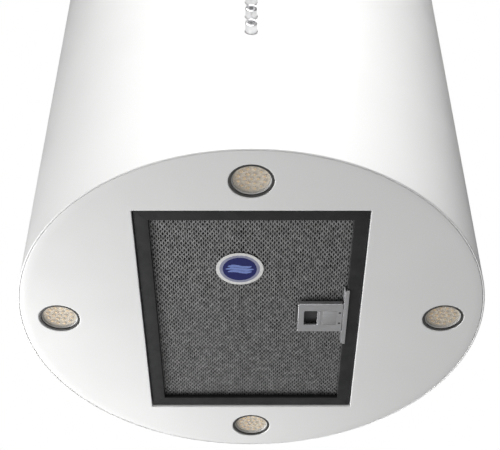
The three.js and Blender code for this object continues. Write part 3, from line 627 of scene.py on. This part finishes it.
def make_lamp(name, sizes, materials):
    node = f"led_lamp_{name}"
    low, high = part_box(node)
    centre = centre_of(node)
    radius = (high[0] - low[0]) / 2
    face = low[2]
    depth = high[2] - low[2]
    bm = bmesh.new()
    place_at = (centre.x, centre.y, 0)
    shell = [(0, face + 2.2 * MM), (radius - 1.2 * MM, face + 2.2 * MM), (radius - 1.0 * MM, face + 0.2 * MM),
             (radius - 0.4 * MM, face), (radius, face + 0.5 * MM), (radius, face + 4.4 * MM),
             (radius - 1.5 * MM, face + 7 * MM), (9 * MM, face + 18.4 * MM), (7 * MM, face + 20.4 * MM),
             (7 * MM, face + depth), (0, face + depth)]
    add_turned(bm, shell, centre=place_at, steps=96, material=0)
    board_top = face + 1.9 * MM
    board_edge = radius - 1.5 * MM
    board_back = face + 2.15 * MM
    board = [(0, board_top), (board_edge, board_top), (board_edge, board_back), (0, board_back)]
    add_turned(bm, board, centre=place_at, steps=72, material=1)
    half = sizes.chip_size / 2
    for ring_radius, count in ((0.0, 1), (5.2 * MM, 6), (10.6 * MM, 12)):
        for i in range(count):
            angle = 2 * pi * i / count + (0.26 if count == 12 else 0.0)
            turn = Matrix.Translation((centre.x, centre.y, 0)) @ Matrix.Rotation(angle, 4, "Z")
            add_block(bm, (ring_radius - half, -half, face + 1.1 * MM), (ring_radius + half, half, board_top),
                      0.25 * MM, 2, turn)
    cover = [(0, face + 0.35 * MM), (radius * 0.5, face + 0.38 * MM), (radius - 1.6 * MM, face + 0.55 * MM),
             (radius - 1.15 * MM, face + 0.9 * MM), (radius - 1.6 * MM, face + 0.95 * MM),
             (0, face + 0.8 * MM)]
    add_turned(bm, cover, centre=place_at, steps=72, material=3)
    mesh = finish_mesh(bm, f"lamp_{name}")
    place(f"lamp_{name}", mesh, "hood", materials, [node])


# ------------------------------------------------------------------ push buttons

def button_signs():
    """Each button's sign, as loops of (across, up) points in metres on its face."""
    bars = {"low": 1, "medium": 2, "high": 3}
    signs = {}
    corners = ((1.9, -0.13), (2.9, -0.09), (2.9, 0.09), (1.9, 0.13))
    rays = [[(reach * cos(a + turn) * MM, reach * sin(a + turn) * MM) for reach, turn in corners]
            for a in (i * pi / 4 for i in range(8))]
    signs["light"] = [circle(1.25 * MM, steps=20), *rays]
    half = 1.7 * MM
    signs["stop"] = [rounded_rectangle(half, half, 0.4 * MM)]
    for name, count in bars.items():
        pitch = 1.6 * MM
        start = -(count - 1) * pitch / 2
        signs[name] = [rounded_rectangle(0.45 * MM, 1.9 * MM, 0.2 * MM, (start + i * pitch, 0))
                       for i in range(count)]
    return signs


def make_buttons(sizes, colours):
    metal = brushed_metal("button_silver", colours.button_metal, 0.3, (1, 1, 1))
    ink = moulded_plastic("button_sign", (0.03, 0.03, 0.032, 1.0), 0.45)
    inset = moulded_plastic("button_inset", (0.3, 0.3, 0.31, 1.0), 0.4)
    signs = button_signs()
    for name in BUTTONS:
        node = f"button_{name}"
        low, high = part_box(node)
        level = (low[2] + high[2]) / 2
        radius = (high[0] - low[0]) / 2
        front = low[1]
        cap = high[1] - front - 11 * MM
        bm = bmesh.new()
        dish = radius - 1.1 * MM
        profile = [(0, 0.35 * MM), (dish - 0.3 * MM, 0.35 * MM), (dish, 0.1 * MM), (radius - 0.8 * MM, 0),
                   *arc((radius - 0.7 * MM, 0.7 * MM), 0.7 * MM, 270, 360, 5), (radius, cap), (2 * MM, cap),
                   (2 * MM, high[1] - front), (0, high[1] - front)]
        add_turned(bm, profile, axis="Y", centre=(0, front, level), steps=64)
        disc_edge = dish - 0.4 * MM
        disc = [(0, 0.28 * MM), (disc_edge, 0.28 * MM), (disc_edge, 0.4 * MM), (0, 0.4 * MM)]
        add_turned(bm, disc, axis="Y", centre=(0, front, level), steps=48, material=2)
        for loop in signs[name]:
            rows = [[(x, front + depth, level + z) for x, z in loop] for depth in (0.3 * MM, 0.12 * MM)]
            made = add_grid(bm, rows, closed_columns=False, material=1)
            bm.faces.new(made[-1]).material_index = 1
            bm.faces.new(list(reversed(made[0]))).material_index = 1
        mesh = finish_mesh(bm, f"push_{name}", merge=1e-7)
        place(f"push_{name}", mesh, f"button_{name}_body", [metal, ink, inset], [node])


# ------------------------------------------------------------------ filter

def filter_sizes():
    low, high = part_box("filter_frame")
    mesh_low, mesh_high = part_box("filter_mesh")
    seat = 3 * MM
    return {"half_x": high[0], "half_y": high[1], "low": low[2], "high": high[2],
            "window_x": mesh_high[0] - seat, "window_y": mesh_high[1] - seat,
            "mesh_low": mesh_low[2], "mesh_high": mesh_high[2], "reach": low[0]}


def add_mitred_bars(bm, half_x, half_y, section, seam, painted_shade_from):
    """Four straight bars round a rectangle, mitred at its corners with a fine seam between them; the faces of
    their inner walls get the second material, a darker black that is painted shade.
    """
    corners = [(half_x, half_y), (-half_x, half_y), (-half_x, -half_y), (half_x, -half_y)]
    for i, start in enumerate(corners):
        end = corners[(i + 1) % 4]
        along = (Vector(end) - Vector(start)).normalized()
        inward = Vector((-along.y, along.x))
        rings = []
        for corner, way in ((start, 1), (end, -1)):
            rings.append([(corner[0] + inward.x * o + along.x * way * (o + seam),
                           corner[1] + inward.y * o + along.y * way * (o + seam), z) for o, z in section])
        made = add_grid(bm, rings, closed_columns=False)
        # Faces of the inner walls get the second material: a darker black that is painted shade, where the
        # walls fall in shadow.
        for index, (first, second) in enumerate(zip(section, section[1:])):
            if min(first[0], second[0]) > painted_shade_from:
                edge = {made[0][index], made[0][index + 1]}
                for face in made[0][index].link_faces:
                    if edge <= set(face.verts):
                        face.material_index = 1
        bm.faces.new(list(reversed(made[0])))
        bm.faces.new(made[1])


def make_filter_frame(sizes, colours):
    size = filter_sizes()
    bar = size["half_x"] - size["window_x"]
    groove = bar - 3.3 * MM
    low, high = size["low"], size["high"]
    mesh_low, mesh_high = size["mesh_low"] - 0.3 * MM, size["mesh_high"] + 0.3 * MM
    section = rounded([(0, low), (bar, low), (bar, mesh_low), (groove, mesh_low), (groove, mesh_high),
                       (bar, mesh_high), (bar, high), (0, high)], 0.7 * MM, 4)
    bm = bmesh.new()
    add_mitred_bars(bm, size["half_x"], size["half_y"], section, 0.06 * MM, bar - 0.4 * MM)
    tongue_low = low + 3 * MM
    for y in (-70 * MM, 70 * MM):
        add_block(bm, (size["reach"], y - 10 * MM, tongue_low), (-size["half_x"] + 1 * MM, y + 10 * MM,
                  tongue_low + 1.2 * MM), 0.25 * MM)
    body = finish_mesh(bm, "filter_bars", merge=1e-7)
    holes = bmesh.new()
    add_block(holes, (size["window_x"] - 1 * MM, -10.5 * MM, low + 0.9 * MM),
              (size["half_x"] + 1 * MM, 10.5 * MM, low + 2.7 * MM), 0.1 * MM)
    mesh = cut_away(body, finish_mesh(holes, "slot"))
    # The second paint is the frame black darkened to a fifth: painted shade on the inner walls next to the
    # window.
    paints = [black_paint("filter_black", colours.filter_paint),
              black_paint("filter_inner_painted_shade", shade(colours.filter_paint, 0.2))]
    place("filter_bars", mesh, "filter", paints, ["filter_frame"])


def add_strand(bm, points, width, thickness, tilt):
    """A flat strand of expanded metal along a zigzag, leaning one way and the other at its bends."""
    rows = []
    for i, here in enumerate(points):
        along = (points[min(len(points) - 1, i + 1)] - points[max(0, i - 1)]).normalized()
        side = Vector((along.y, -along.x, 0))
        lean = tilt if i % 2 else -tilt
        across = side * cos(lean) + Vector((0, 0, 1)) * sin(lean)
        through = across.cross(along)
        rows.append([here + across * sx * width / 2 + through * sz * thickness / 2
                     for sx, sz in ((-1, -1), (1, -1), (1, 1), (-1, 1))])
    made = add_grid(bm, rows, closed_columns=False)
    bm.faces.new(list(reversed(made[0])))
    bm.faces.new(made[-1])


def wander(first, second):
    """A number from -1 to 1 that changes irregularly from one pair of counts to the next."""
    return 2 * ((sin(first * 12.9898 + second * 78.233) * 4375.85) % 1.0) - 1


def add_expanded_sheet(bm, half, cell, level, strand, tilt):
    """Rows of diamond cells: zigzag strands side by side that meet at their bends, none quite alike."""
    width, thickness = strand
    strands = round(4 * half[0] / cell[0])
    steps = round(4 * half[1] / cell[1])
    pitch = 2 * half[0] / strands
    sway = (pitch - 0.6 * width) / 2
    for s in range(strands):
        middle = -half[0] + (s + 0.5) * pitch
        points = []
        for k in range(steps + 1):
            way = 1 if (k + s) % 2 else -1
            across = middle + way * sway + 0.12 * pitch * wander(s, k)
            across = max(width / 2 - half[0], min(half[0] - width / 2, across))
            along = -half[1] + (k + 0.22 * wander(k, s)) * 2 * half[1] / steps
            along = max(-half[1], min(half[1], along))
            points.append(Vector((across, along, level + (0.3 * way + 0.15 * wander(k, -s)) * thickness)))
        lean = tilt * (1 + 0.8 * wander(s, 0))
        add_strand(bm, points, width, thickness, lean if s % 2 else -lean)


def make_filter_mesh(sizes, colours):
    size = filter_sizes()
    half = (size["window_x"] + 2.6 * MM, size["window_y"] + 2.6 * MM)
    low, high = size["mesh_low"], size["mesh_high"]
    strand = (sizes.strand_width, 0.32 * MM)
    outer = bmesh.new()
    outer_cell = (sizes.cell_width, sizes.cell_length)
    add_expanded_sheet(outer, half, outer_cell, low + 0.45 * MM, strand, radians(16))
    mesh = finish_mesh(outer, "mesh_outer", merge=1e-8, sharp=30)
    place("mesh_outer", mesh, "filter",
          [expanded_metal("mesh_outer_metal", colours.mesh_metal)], ["filter_mesh"])
    fine = sizes.inner_cell
    # The layers behind the outer mesh are the same metal darkened to 0.45 and 0.8: painted shade, so that the
    # pits between the strands look dark.
    inner_metal = expanded_metal("mesh_inner_metal_painted_shade", shade(colours.mesh_metal, 0.45))
    back_metal = expanded_metal("mesh_back_metal_painted_shade", shade(colours.mesh_metal, 0.8))
    middle = (low + high) / 2
    layers = (("mesh_inner", (fine, fine * 1.25), middle - 0.5 * MM, 1.35, 22, inner_metal),
              ("mesh_middle", (fine * 1.1, fine), middle + 0.5 * MM, 1.35, -22, inner_metal),
              ("mesh_back", outer_cell, high - 0.45 * MM, 0.85, 28, back_metal))
    for name, cell, level, width, tilt, metal in layers:
        bm = bmesh.new()
        add_expanded_sheet(bm, half, cell, level, (width * MM, 0.3 * MM), radians(tilt))
        mesh = finish_mesh(bm, name, merge=1e-8, sharp=30)
        place(name, mesh, "filter", [metal], ["filter_mesh"])


def wavy_line(centre, half_length, level, thickness, steps=24):
    """Outline of a horizontal line that waves once, like moving air."""
    sides = []
    for side in (1, -1):
        points = []
        for i in range(steps + 1):
            x = -half_length + 2 * half_length * i / steps
            taper = min(1.0, max(0.0, 2.5 * (1 - abs(x) / half_length))) ** 0.5
            wave = 0.9 * MM * sin(2 * pi * x / (2 * half_length))
            points.append((centre.x + x, centre.y + level + wave + side * taper * thickness / 2))
        sides.append(points)
    return sides[0] + list(reversed(sides[1]))[1:-1]


def make_sticker(sizes, colours):
    low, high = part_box("filter_sticker")
    centre = centre_of("filter_sticker")
    radius = (high[0] - low[0]) / 2
    white = printed_paper("sticker_white", (0.80, 0.80, 0.79, 1.0))
    ring = printed_paper("sticker_ring", (0.30, 0.31, 0.42, 1.0))
    field = printed_paper("sticker_field", colours.sticker_field)
    mark = printed_paper("sticker_mark", colours.sticker_mark)
    bm = bmesh.new()
    where = (centre.x, centre.y, 0)
    thick = high[2] - low[2]
    layers = ((radius, 0.45, 1.0, 0), (radius - 3.0 * MM, 0.3, 0.5, 1), (radius - 5.6 * MM, 0.15, 0.4, 2))
    for edge, start, end, material in layers:
        bottom, top = low[2] + start * thick, low[2] + end * thick
        add_turned(bm, [(0, bottom), (edge, bottom), (edge, top), (0, top)], centre=where, steps=96,
                   material=material)
    for level, half_length in ((3.2 * MM, 10.2 * MM), (0, 12.0 * MM), (-3.2 * MM, 10.2 * MM)):
        loop = wavy_line(centre, half_length, level, 2.9 * MM)
        rows = [[(x, y, low[2] + depth * thick) for x, y in loop] for depth in (0.2, 0.0)]
        made = add_grid(bm, rows, closed_columns=False, material=3)
        bm.faces.new(made[-1]).material_index = 3
        bm.faces.new(list(reversed(made[0]))).material_index = 3
    mesh = finish_mesh(bm, "sticker", merge=1e-8)
    place("sticker", mesh, "filter", [white, ring, field, mark], ["filter_sticker"])


# ------------------------------------------------------------------ latch

def make_latch(sizes, colours):
    metal = brushed_metal("latch_satin", colours.latch_metal, 0.36, (1, 30, 30))
    # The dark material is on the small caps of the pull and on a block under the pull, where it is painted
    # shade.
    dark = moulded_plastic("latch_dark_and_painted_shade", (0.012, 0.012, 0.012, 1.0), 0.55)
    make_latch_slider(metal, dark)
    make_latch_strap(metal, dark)


def make_latch_slider(metal, dark):
    low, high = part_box("latch_slider")
    strap_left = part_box("latch_base")[1][0] - STRAP_WIDTH
    sheet, edge, lip = 0.8 * MM, 0.55 * MM, 0.7 * MM
    half_y = high[1]
    left, right = low[0], strap_left - 0.3 * MM
    floor, rim = low[2], high[2]
    outline = rounded_rectangle((right - left) / 2, half_y, 1.2 * MM, ((left + right) / 2, 0))
    finger = (right - 27.6 * MM, 0)
    hole = rounded_rectangle(5.7 * MM + lip, 9.5 * MM + lip, 1.4 * MM + lip, finger)
    bm = bmesh.new()
    bend = 1.1 * MM
    wall = [(-bend, floor), *arc((-edge, floor + edge), edge, 270, 360, 5), (0, rim), (-sheet, rim),
            (-sheet, floor + sheet + 0.2 * MM), (-sheet - 0.2 * MM, floor + sheet), (-bend, floor + sheet)]
    add_edge_section(bm, outline, wall, closed=False)
    roll = [(0, floor), *arc((-lip + 0.35 * MM, floor + 0.35 * MM), 0.35 * MM, 270, 180, 4),
            (-lip, floor + 2.0 * MM), (-lip + 0.5 * MM, floor + 2.0 * MM), (-lip + 0.5 * MM, floor + sheet),
            (0, floor + sheet)]
    add_edge_section(bm, hole, roll, closed=False)
    inset = [(p[0] - n.x * bend, p[1] - n.y * bend) for p, n in zip(outline, loop_normals(outline))]
    add_flat(bm, [inset, hole], floor, up=False)
    add_flat(bm, [inset, hole], floor + sheet, up=True)
    crease_x = finger[0] + 7.2 * MM
    add_block(bm, (crease_x, -9.0 * MM, floor - 0.3 * MM),
              (crease_x + 1.6 * MM, 9.0 * MM, floor + 0.1 * MM), 0.13 * MM)
    pad = (crease_x + 3.4 * MM, right - 5.5 * MM)
    add_block(bm, (pad[0], -9.5 * MM, floor - 0.16 * MM), (pad[1], 9.5 * MM, floor + 0.1 * MM), 0.12 * MM)
    for y in (-7 * MM, 7 * MM):
        cap = [(0, floor - 0.28 * MM), (0.8 * MM, floor - 0.2 * MM), (1.3 * MM, floor + 0.1 * MM),
               (0, floor + 0.1 * MM)]
        add_turned(bm, cap, centre=(right - 2.6 * MM, y, 0), steps=24, material=1)
    tongue_low = floor + 2.4 * MM
    add_block(bm, (right - 1 * MM, -10 * MM, tongue_low), (high[0], 10 * MM, tongue_low + 1.2 * MM), 0.2 * MM)
    tab_x = right - 3.1 * MM
    add_block(bm, (tab_x, -2.5 * MM, floor + 0.6 * MM), (tab_x + 1 * MM, 2.5 * MM, rim), 0.15 * MM)
    mesh = finish_mesh(bm, "latch_pull", merge=1e-7)
    place("latch_pull", mesh, "latch", [metal, dark], ["latch_slider"])


def make_latch_strap(metal, dark):
    low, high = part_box("latch_base")
    half = high[1]
    strap_x = high[0] - STRAP_WIDTH
    plate_low = high[2] - 0.8 * MM
    bm = bmesh.new()
    notch = 1.2 * MM
    outline = [(strap_x, notch - half), (strap_x + 1.3 * MM, notch - half), (strap_x + 1.3 * MM, -half),
               (high[0], -half), (high[0], half), (strap_x + 1.3 * MM, half),
               (strap_x + 1.3 * MM, half - notch), (strap_x, half - notch)]
    add_plate(bm, rounded(outline, 0.4 * MM, 2), low[2], low[2] + 0.9 * MM, 0.2 * MM)
    legs = 19.9 * MM
    for sign in (-1, 1):
        near, far = sorted((sign * legs, sign * half))
        add_block(bm, (strap_x, near, low[2] + 0.4 * MM), (strap_x + 0.8 * MM, far, high[2]), 0.15 * MM)
        rivet = [(0, low[2] - 0.15 * MM), (0.9 * MM, low[2] - 0.08 * MM), (1.3 * MM, low[2] + 0.2 * MM),
                 (0, low[2] + 0.2 * MM)]
        add_turned(bm, rivet, centre=(strap_x + 1.9 * MM, sign * (half - 4 * MM), 0), steps=24)
    add_block(bm, (strap_x - 0.8 * MM, -half, plate_low), (strap_x + 0.8 * MM, half, high[2]), 0.15 * MM)
    # A dark block under the pull is painted shade: it darkens the finger hole and the gap between the pull
    # and the mesh.
    add_block(bm, (low[0], -10.5 * MM, plate_low), (strap_x, 10.5 * MM, high[2]), 0.15 * MM, 1)
    tab_x = strap_x - 19.4 * MM
    add_block(bm, (tab_x, -2.5 * MM, low[2] + 1.1 * MM),
              (tab_x + 1 * MM, 2.5 * MM, plate_low + 0.1 * MM), 0.15 * MM)
    mesh = finish_mesh(bm, "latch_strap", merge=1e-7)
    place("latch_strap", mesh, "filter", [metal, dark], ["latch_base"])


# ------------------------------------------------------------------ screws

def make_screws(sizes, colours):
    metal = brushed_metal("screw_zinc", (0.62, 0.62, 0.63, 1.0), 0.28, (1, 1, 1))
    for index in range(1, 5):
        node = f"shell_screw_{index}"
        centre = centre_of(node)
        angle = radians(45 + 90 * (index - 1))
        radius = 200 * MM
        start = radius - 8 * MM
        head = 8.3 * MM
        bm = bmesh.new()
        thread = []
        steps = 12
        for k in range(steps):
            base = 0.6 * MM * k
            thread += [(1.7 * MM, base + 0.3 * MM), (2.0 * MM, base + 0.6 * MM)]
        profile = [(0, 0), (1.2 * MM, 0), *thread, (2.0 * MM, head), (4.0 * MM, head),
                   *arc((2.4 * MM, head + 0.3 * MM), 1.6 * MM, 15, 80, 5), (0, head + 2.0 * MM)]
        add_turned(bm, profile, axis="X", steps=36)
        mesh = finish_mesh(bm, node)
        for long, wide in ((2.0 * MM, 0.35 * MM), (0.35 * MM, 2.0 * MM)):
            bar = bmesh.new()
            add_block(bar, (head + 0.9 * MM, -long, -wide), (head + 3 * MM, long, wide), 0.05 * MM)
            mesh = cut_away(mesh, finish_mesh(bar, "bar"))
        turn = Matrix.Rotation(angle, 4, "Z") @ Matrix.Translation((start, 0, 0))
        mesh.transform(Matrix.Translation((0, 0, centre.z)) @ turn)
        place(f"screw_{index}", mesh, "hood", [metal], [node])


# ------------------------------------------------------------------ carried-over pieces

def make_inner_finishes(sizes, colours):
    """Gives each piece that keeps its CAD shape its finish and softened edges."""
    sheet = galvanised_sheet()
    bright = brushed_metal("bright_steel", (0.6, 0.6, 0.61, 1.0), 0.25, (30, 1, 1))
    black = moulded_plastic("black_plastic", (0.02, 0.02, 0.021, 1.0), 0.5)
    grey = moulded_plastic("grey_plastic", (0.32, 0.33, 0.34, 1.0), 0.5)
    motor = moulded_plastic("motor_enamel", (0.03, 0.032, 0.036, 1.0), 0.4)
    finishes = {"zinc_sheet": sheet, "bright_steel": bright, "dark_plastic": black, "grey_plastic": grey,
                "motor_paint": motor, "board": circuit_board(), "ceramic": fired_clay(),
                "wire_sheath": cable_sheath()}
    slots = {part["node"]: part["material_slot"] for part in frame["record"]["subparts"]}
    for name, obj in frame["nodes"].items():
        finish = finishes.get(slots[name])
        if finish is None or obj.hide_render:
            continue
        obj.data.materials.clear()
        obj.data.materials.append(finish)
        edges = obj.modifiers.new("soft_edges", "BEVEL")
        edges.width = 0.25 * MM
        edges.segments = 2
        edges.limit_method = "ANGLE"
        edges.angle_limit = radians(50)


# ------------------------------------------------------------------ stage

def make_floor():
    """A round pale floor that throws no diffuse light back at the hood."""
    bm = bmesh.new()
    level = CAD_BOX[0][2] - FLOOR_DROP
    bm.faces.new([bm.verts.new((x, y, level)) for x, y in circle(FLOOR_RADIUS, steps=96)])
    mesh = finish_mesh(bm, "floor")
    floor = bpy.data.objects.new("floor", mesh)
    bpy.context.collection.objects.link(floor)
    finish = Finish("floor_plaster", (0.82, 0.82, 0.81, 1.0), 0.8)
    finish.polish(finish.noise(3.0), 0.7, 0.9)
    mesh.materials.append(finish.material)
    floor.visible_diffuse = False


def add_soft_light(name, location, target, width, height, power, spread=180):
    data = bpy.data.lights.new(name, "AREA")
    data.shape = "RECTANGLE"
    data.size = width
    data.size_y = height
    data.energy = power
    data.spread = radians(spread)
    light = bpy.data.objects.new(name, data)
    light.location = location
    light.visible_camera = False
    light.rotation_euler = (Vector(target) - Vector(location)).to_track_quat("-Z", "Y").to_euler()
    bpy.context.collection.objects.link(light)


def make_stage(sizes, colours):
    make_floor()
    underside = CAD_BOX[0][2]
    world = bpy.data.worlds.new("studio")
    bpy.context.scene.world = world
    world.use_nodes = True
    tree = world.node_tree
    surround = tree.nodes["Background"]
    surround.inputs["Color"].default_value = (1.0, 1.0, 1.0, 1.0)
    surround.inputs["Strength"].default_value = AMBIENT
    backdrop = tree.nodes.new("ShaderNodeBackground")
    backdrop.inputs["Color"].default_value = (1.0, 1.0, 1.0, 1.0)
    backdrop.inputs["Strength"].default_value = BACKDROP
    seen = tree.nodes.new("ShaderNodeLightPath")
    mix = tree.nodes.new("ShaderNodeMixShader")
    tree.links.new(seen.outputs["Is Camera Ray"], mix.inputs["Fac"])
    tree.links.new(surround.outputs["Background"], mix.inputs[1])
    tree.links.new(backdrop.outputs["Background"], mix.inputs[2])
    tree.links.new(mix.outputs["Shader"], tree.nodes["World Output"].inputs["Surface"])
    add_soft_light("front_light", (-0.3, -3.0, underside + 0.4), (0, 0, underside + 0.3),
                   width=2.6, height=1.6, power=100.0)
    add_soft_light("under_light", (-0.65, 0.45, underside - 0.3), (-0.1, 0.05, underside),
                   width=0.5, height=0.5, power=9.7)
    add_soft_light("fill_light", (-0.3, -0.8, underside - 1.3), (0, -0.1, underside),
                   width=1.0, height=1.0, power=5.4)
    add_soft_light("back_light", (0.6, 3.0, underside + 0.9), (0, 0, underside + 0.5),
                   width=2.2, height=1.2, power=9.0, spread=60)
    add_soft_light("floor_light", (0, 0, underside - 3.2), (0, 0, underside - 4),
                   width=24.0, height=24.0, power=1280.0)
    add_soft_light("top_light", (0.3, -0.4, 1.6), (0, 0, 0),
                   width=0.8, height=0.8, power=6.0, spread=40)
    camera_data = bpy.data.cameras.new("camera")
    camera_data.sensor_width = CAMERA_SENSOR
    camera_data.lens = CAMERA_LENS
    camera = bpy.data.objects.new("camera", camera_data)
    camera.location = (CAMERA_PLACE[0], CAMERA_PLACE[1], underside + CAMERA_PLACE[2])
    camera.rotation_euler = (radians(90 + CAMERA_TILT), 0, 0)
    bpy.context.collection.objects.link(camera)
    bpy.context.scene.camera = camera
    bpy.context.scene.view_settings.view_transform = "Standard"


# ------------------------------------------------------------------ operators

def run(context, make):
    make(context.scene.hood_sizes, context.scene.hood_colours)
    return {"FINISHED"}


class HOOD_OT_shell(bpy.types.Operator):
    """Make the round white shell with its button holes"""
    bl_idname = "hood.shell"
    bl_label = "Shell"

    def execute(self, context):
        return run(context, make_shell)


class HOOD_OT_bottom_panel(bpy.types.Operator):
    """Make the bottom panel with its folded edge and openings"""
    bl_idname = "hood.bottom_panel"
    bl_label = "Bottom panel"

    def execute(self, context):
        return run(context, make_bottom_panel)


class HOOD_OT_lamps(bpy.types.Operator):
    """Make the four lamps and their dark rings"""
    bl_idname = "hood.lamps"
    bl_label = "Lamps"

    def execute(self, context):
        return run(context, make_lamps)


class HOOD_OT_buttons(bpy.types.Operator):
    """Make the push buttons with their signs"""
    bl_idname = "hood.buttons"
    bl_label = "Push buttons"

    def execute(self, context):
        return run(context, make_buttons)


class HOOD_OT_filter_frame(bpy.types.Operator):
    """Make the filter's mitred black frame"""
    bl_idname = "hood.filter_frame"
    bl_label = "Filter frame"

    def execute(self, context):
        return run(context, make_filter_frame)


class HOOD_OT_filter_mesh(bpy.types.Operator):
    """Make the filter's layers of expanded mesh"""
    bl_idname = "hood.filter_mesh"
    bl_label = "Filter mesh"

    def execute(self, context):
        return run(context, make_filter_mesh)


class HOOD_OT_sticker(bpy.types.Operator):
    """Make the round sticker with its waves of air"""
    bl_idname = "hood.sticker"
    bl_label = "Sticker"

    def execute(self, context):
        return run(context, make_sticker)


class HOOD_OT_latch(bpy.types.Operator):
    """Make the finger latch and its strap"""
    bl_idname = "hood.latch"
    bl_label = "Latch"

    def execute(self, context):
        return run(context, make_latch)


class HOOD_OT_screws(bpy.types.Operator):
    """Make the four shell screws"""
    bl_idname = "hood.screws"
    bl_label = "Shell screws"

    def execute(self, context):
        return run(context, make_screws)


class HOOD_OT_inner_finishes(bpy.types.Operator):
    """Give the carried-over inner pieces their finishes"""
    bl_idname = "hood.inner_finishes"
    bl_label = "Inner finishes"

    def execute(self, context):
        return run(context, make_inner_finishes)


class HOOD_OT_stage(bpy.types.Operator):
    """Make the floor, lights and camera"""
    bl_idname = "hood.stage"
    bl_label = "Stage"

    def execute(self, context):
        return run(context, make_stage)


OPERATORS = (HOOD_OT_shell, HOOD_OT_bottom_panel, HOOD_OT_lamps, HOOD_OT_buttons, HOOD_OT_filter_frame,
             HOOD_OT_filter_mesh, HOOD_OT_sticker, HOOD_OT_latch, HOOD_OT_screws, HOOD_OT_inner_finishes,
             HOOD_OT_stage)


class HOOD_PT_panel(bpy.types.Panel):
    """Lists the hood's pieces"""
    bl_idname = "HOOD_PT_panel"
    bl_label = "Island Range Hood"
    bl_space_type = "VIEW_3D"
    bl_region_type = "UI"
    bl_category = "Hood"

    def draw(self, context):
        for operator in OPERATORS:
            self.layout.operator(operator.bl_idname)
        for group in (context.scene.hood_sizes, context.scene.hood_colours):
            for label in group.__annotations__:
                self.layout.prop(group, label)


CLASSES = (HoodSizes, HoodColours, *OPERATORS, HOOD_PT_panel)


def register():
    for item in CLASSES:
        bpy.utils.register_class(item)
    bpy.types.Scene.hood_sizes = PointerProperty(type=HoodSizes)
    bpy.types.Scene.hood_colours = PointerProperty(type=HoodColours)


def unregister():
    del bpy.types.Scene.hood_colours
    del bpy.types.Scene.hood_sizes
    for item in reversed(CLASSES):
        bpy.utils.unregister_class(item)


def main():
    register()
    bpy.ops.hood.shell()
    bpy.ops.hood.bottom_panel()
    bpy.ops.hood.lamps()
    bpy.ops.hood.buttons()
    bpy.ops.hood.filter_frame()
    bpy.ops.hood.filter_mesh()
    bpy.ops.hood.sticker()
    bpy.ops.hood.latch()
    bpy.ops.hood.screws()
    bpy.ops.hood.inner_finishes()
    bpy.ops.hood.stage()


if __name__ == "__main__":
    main()
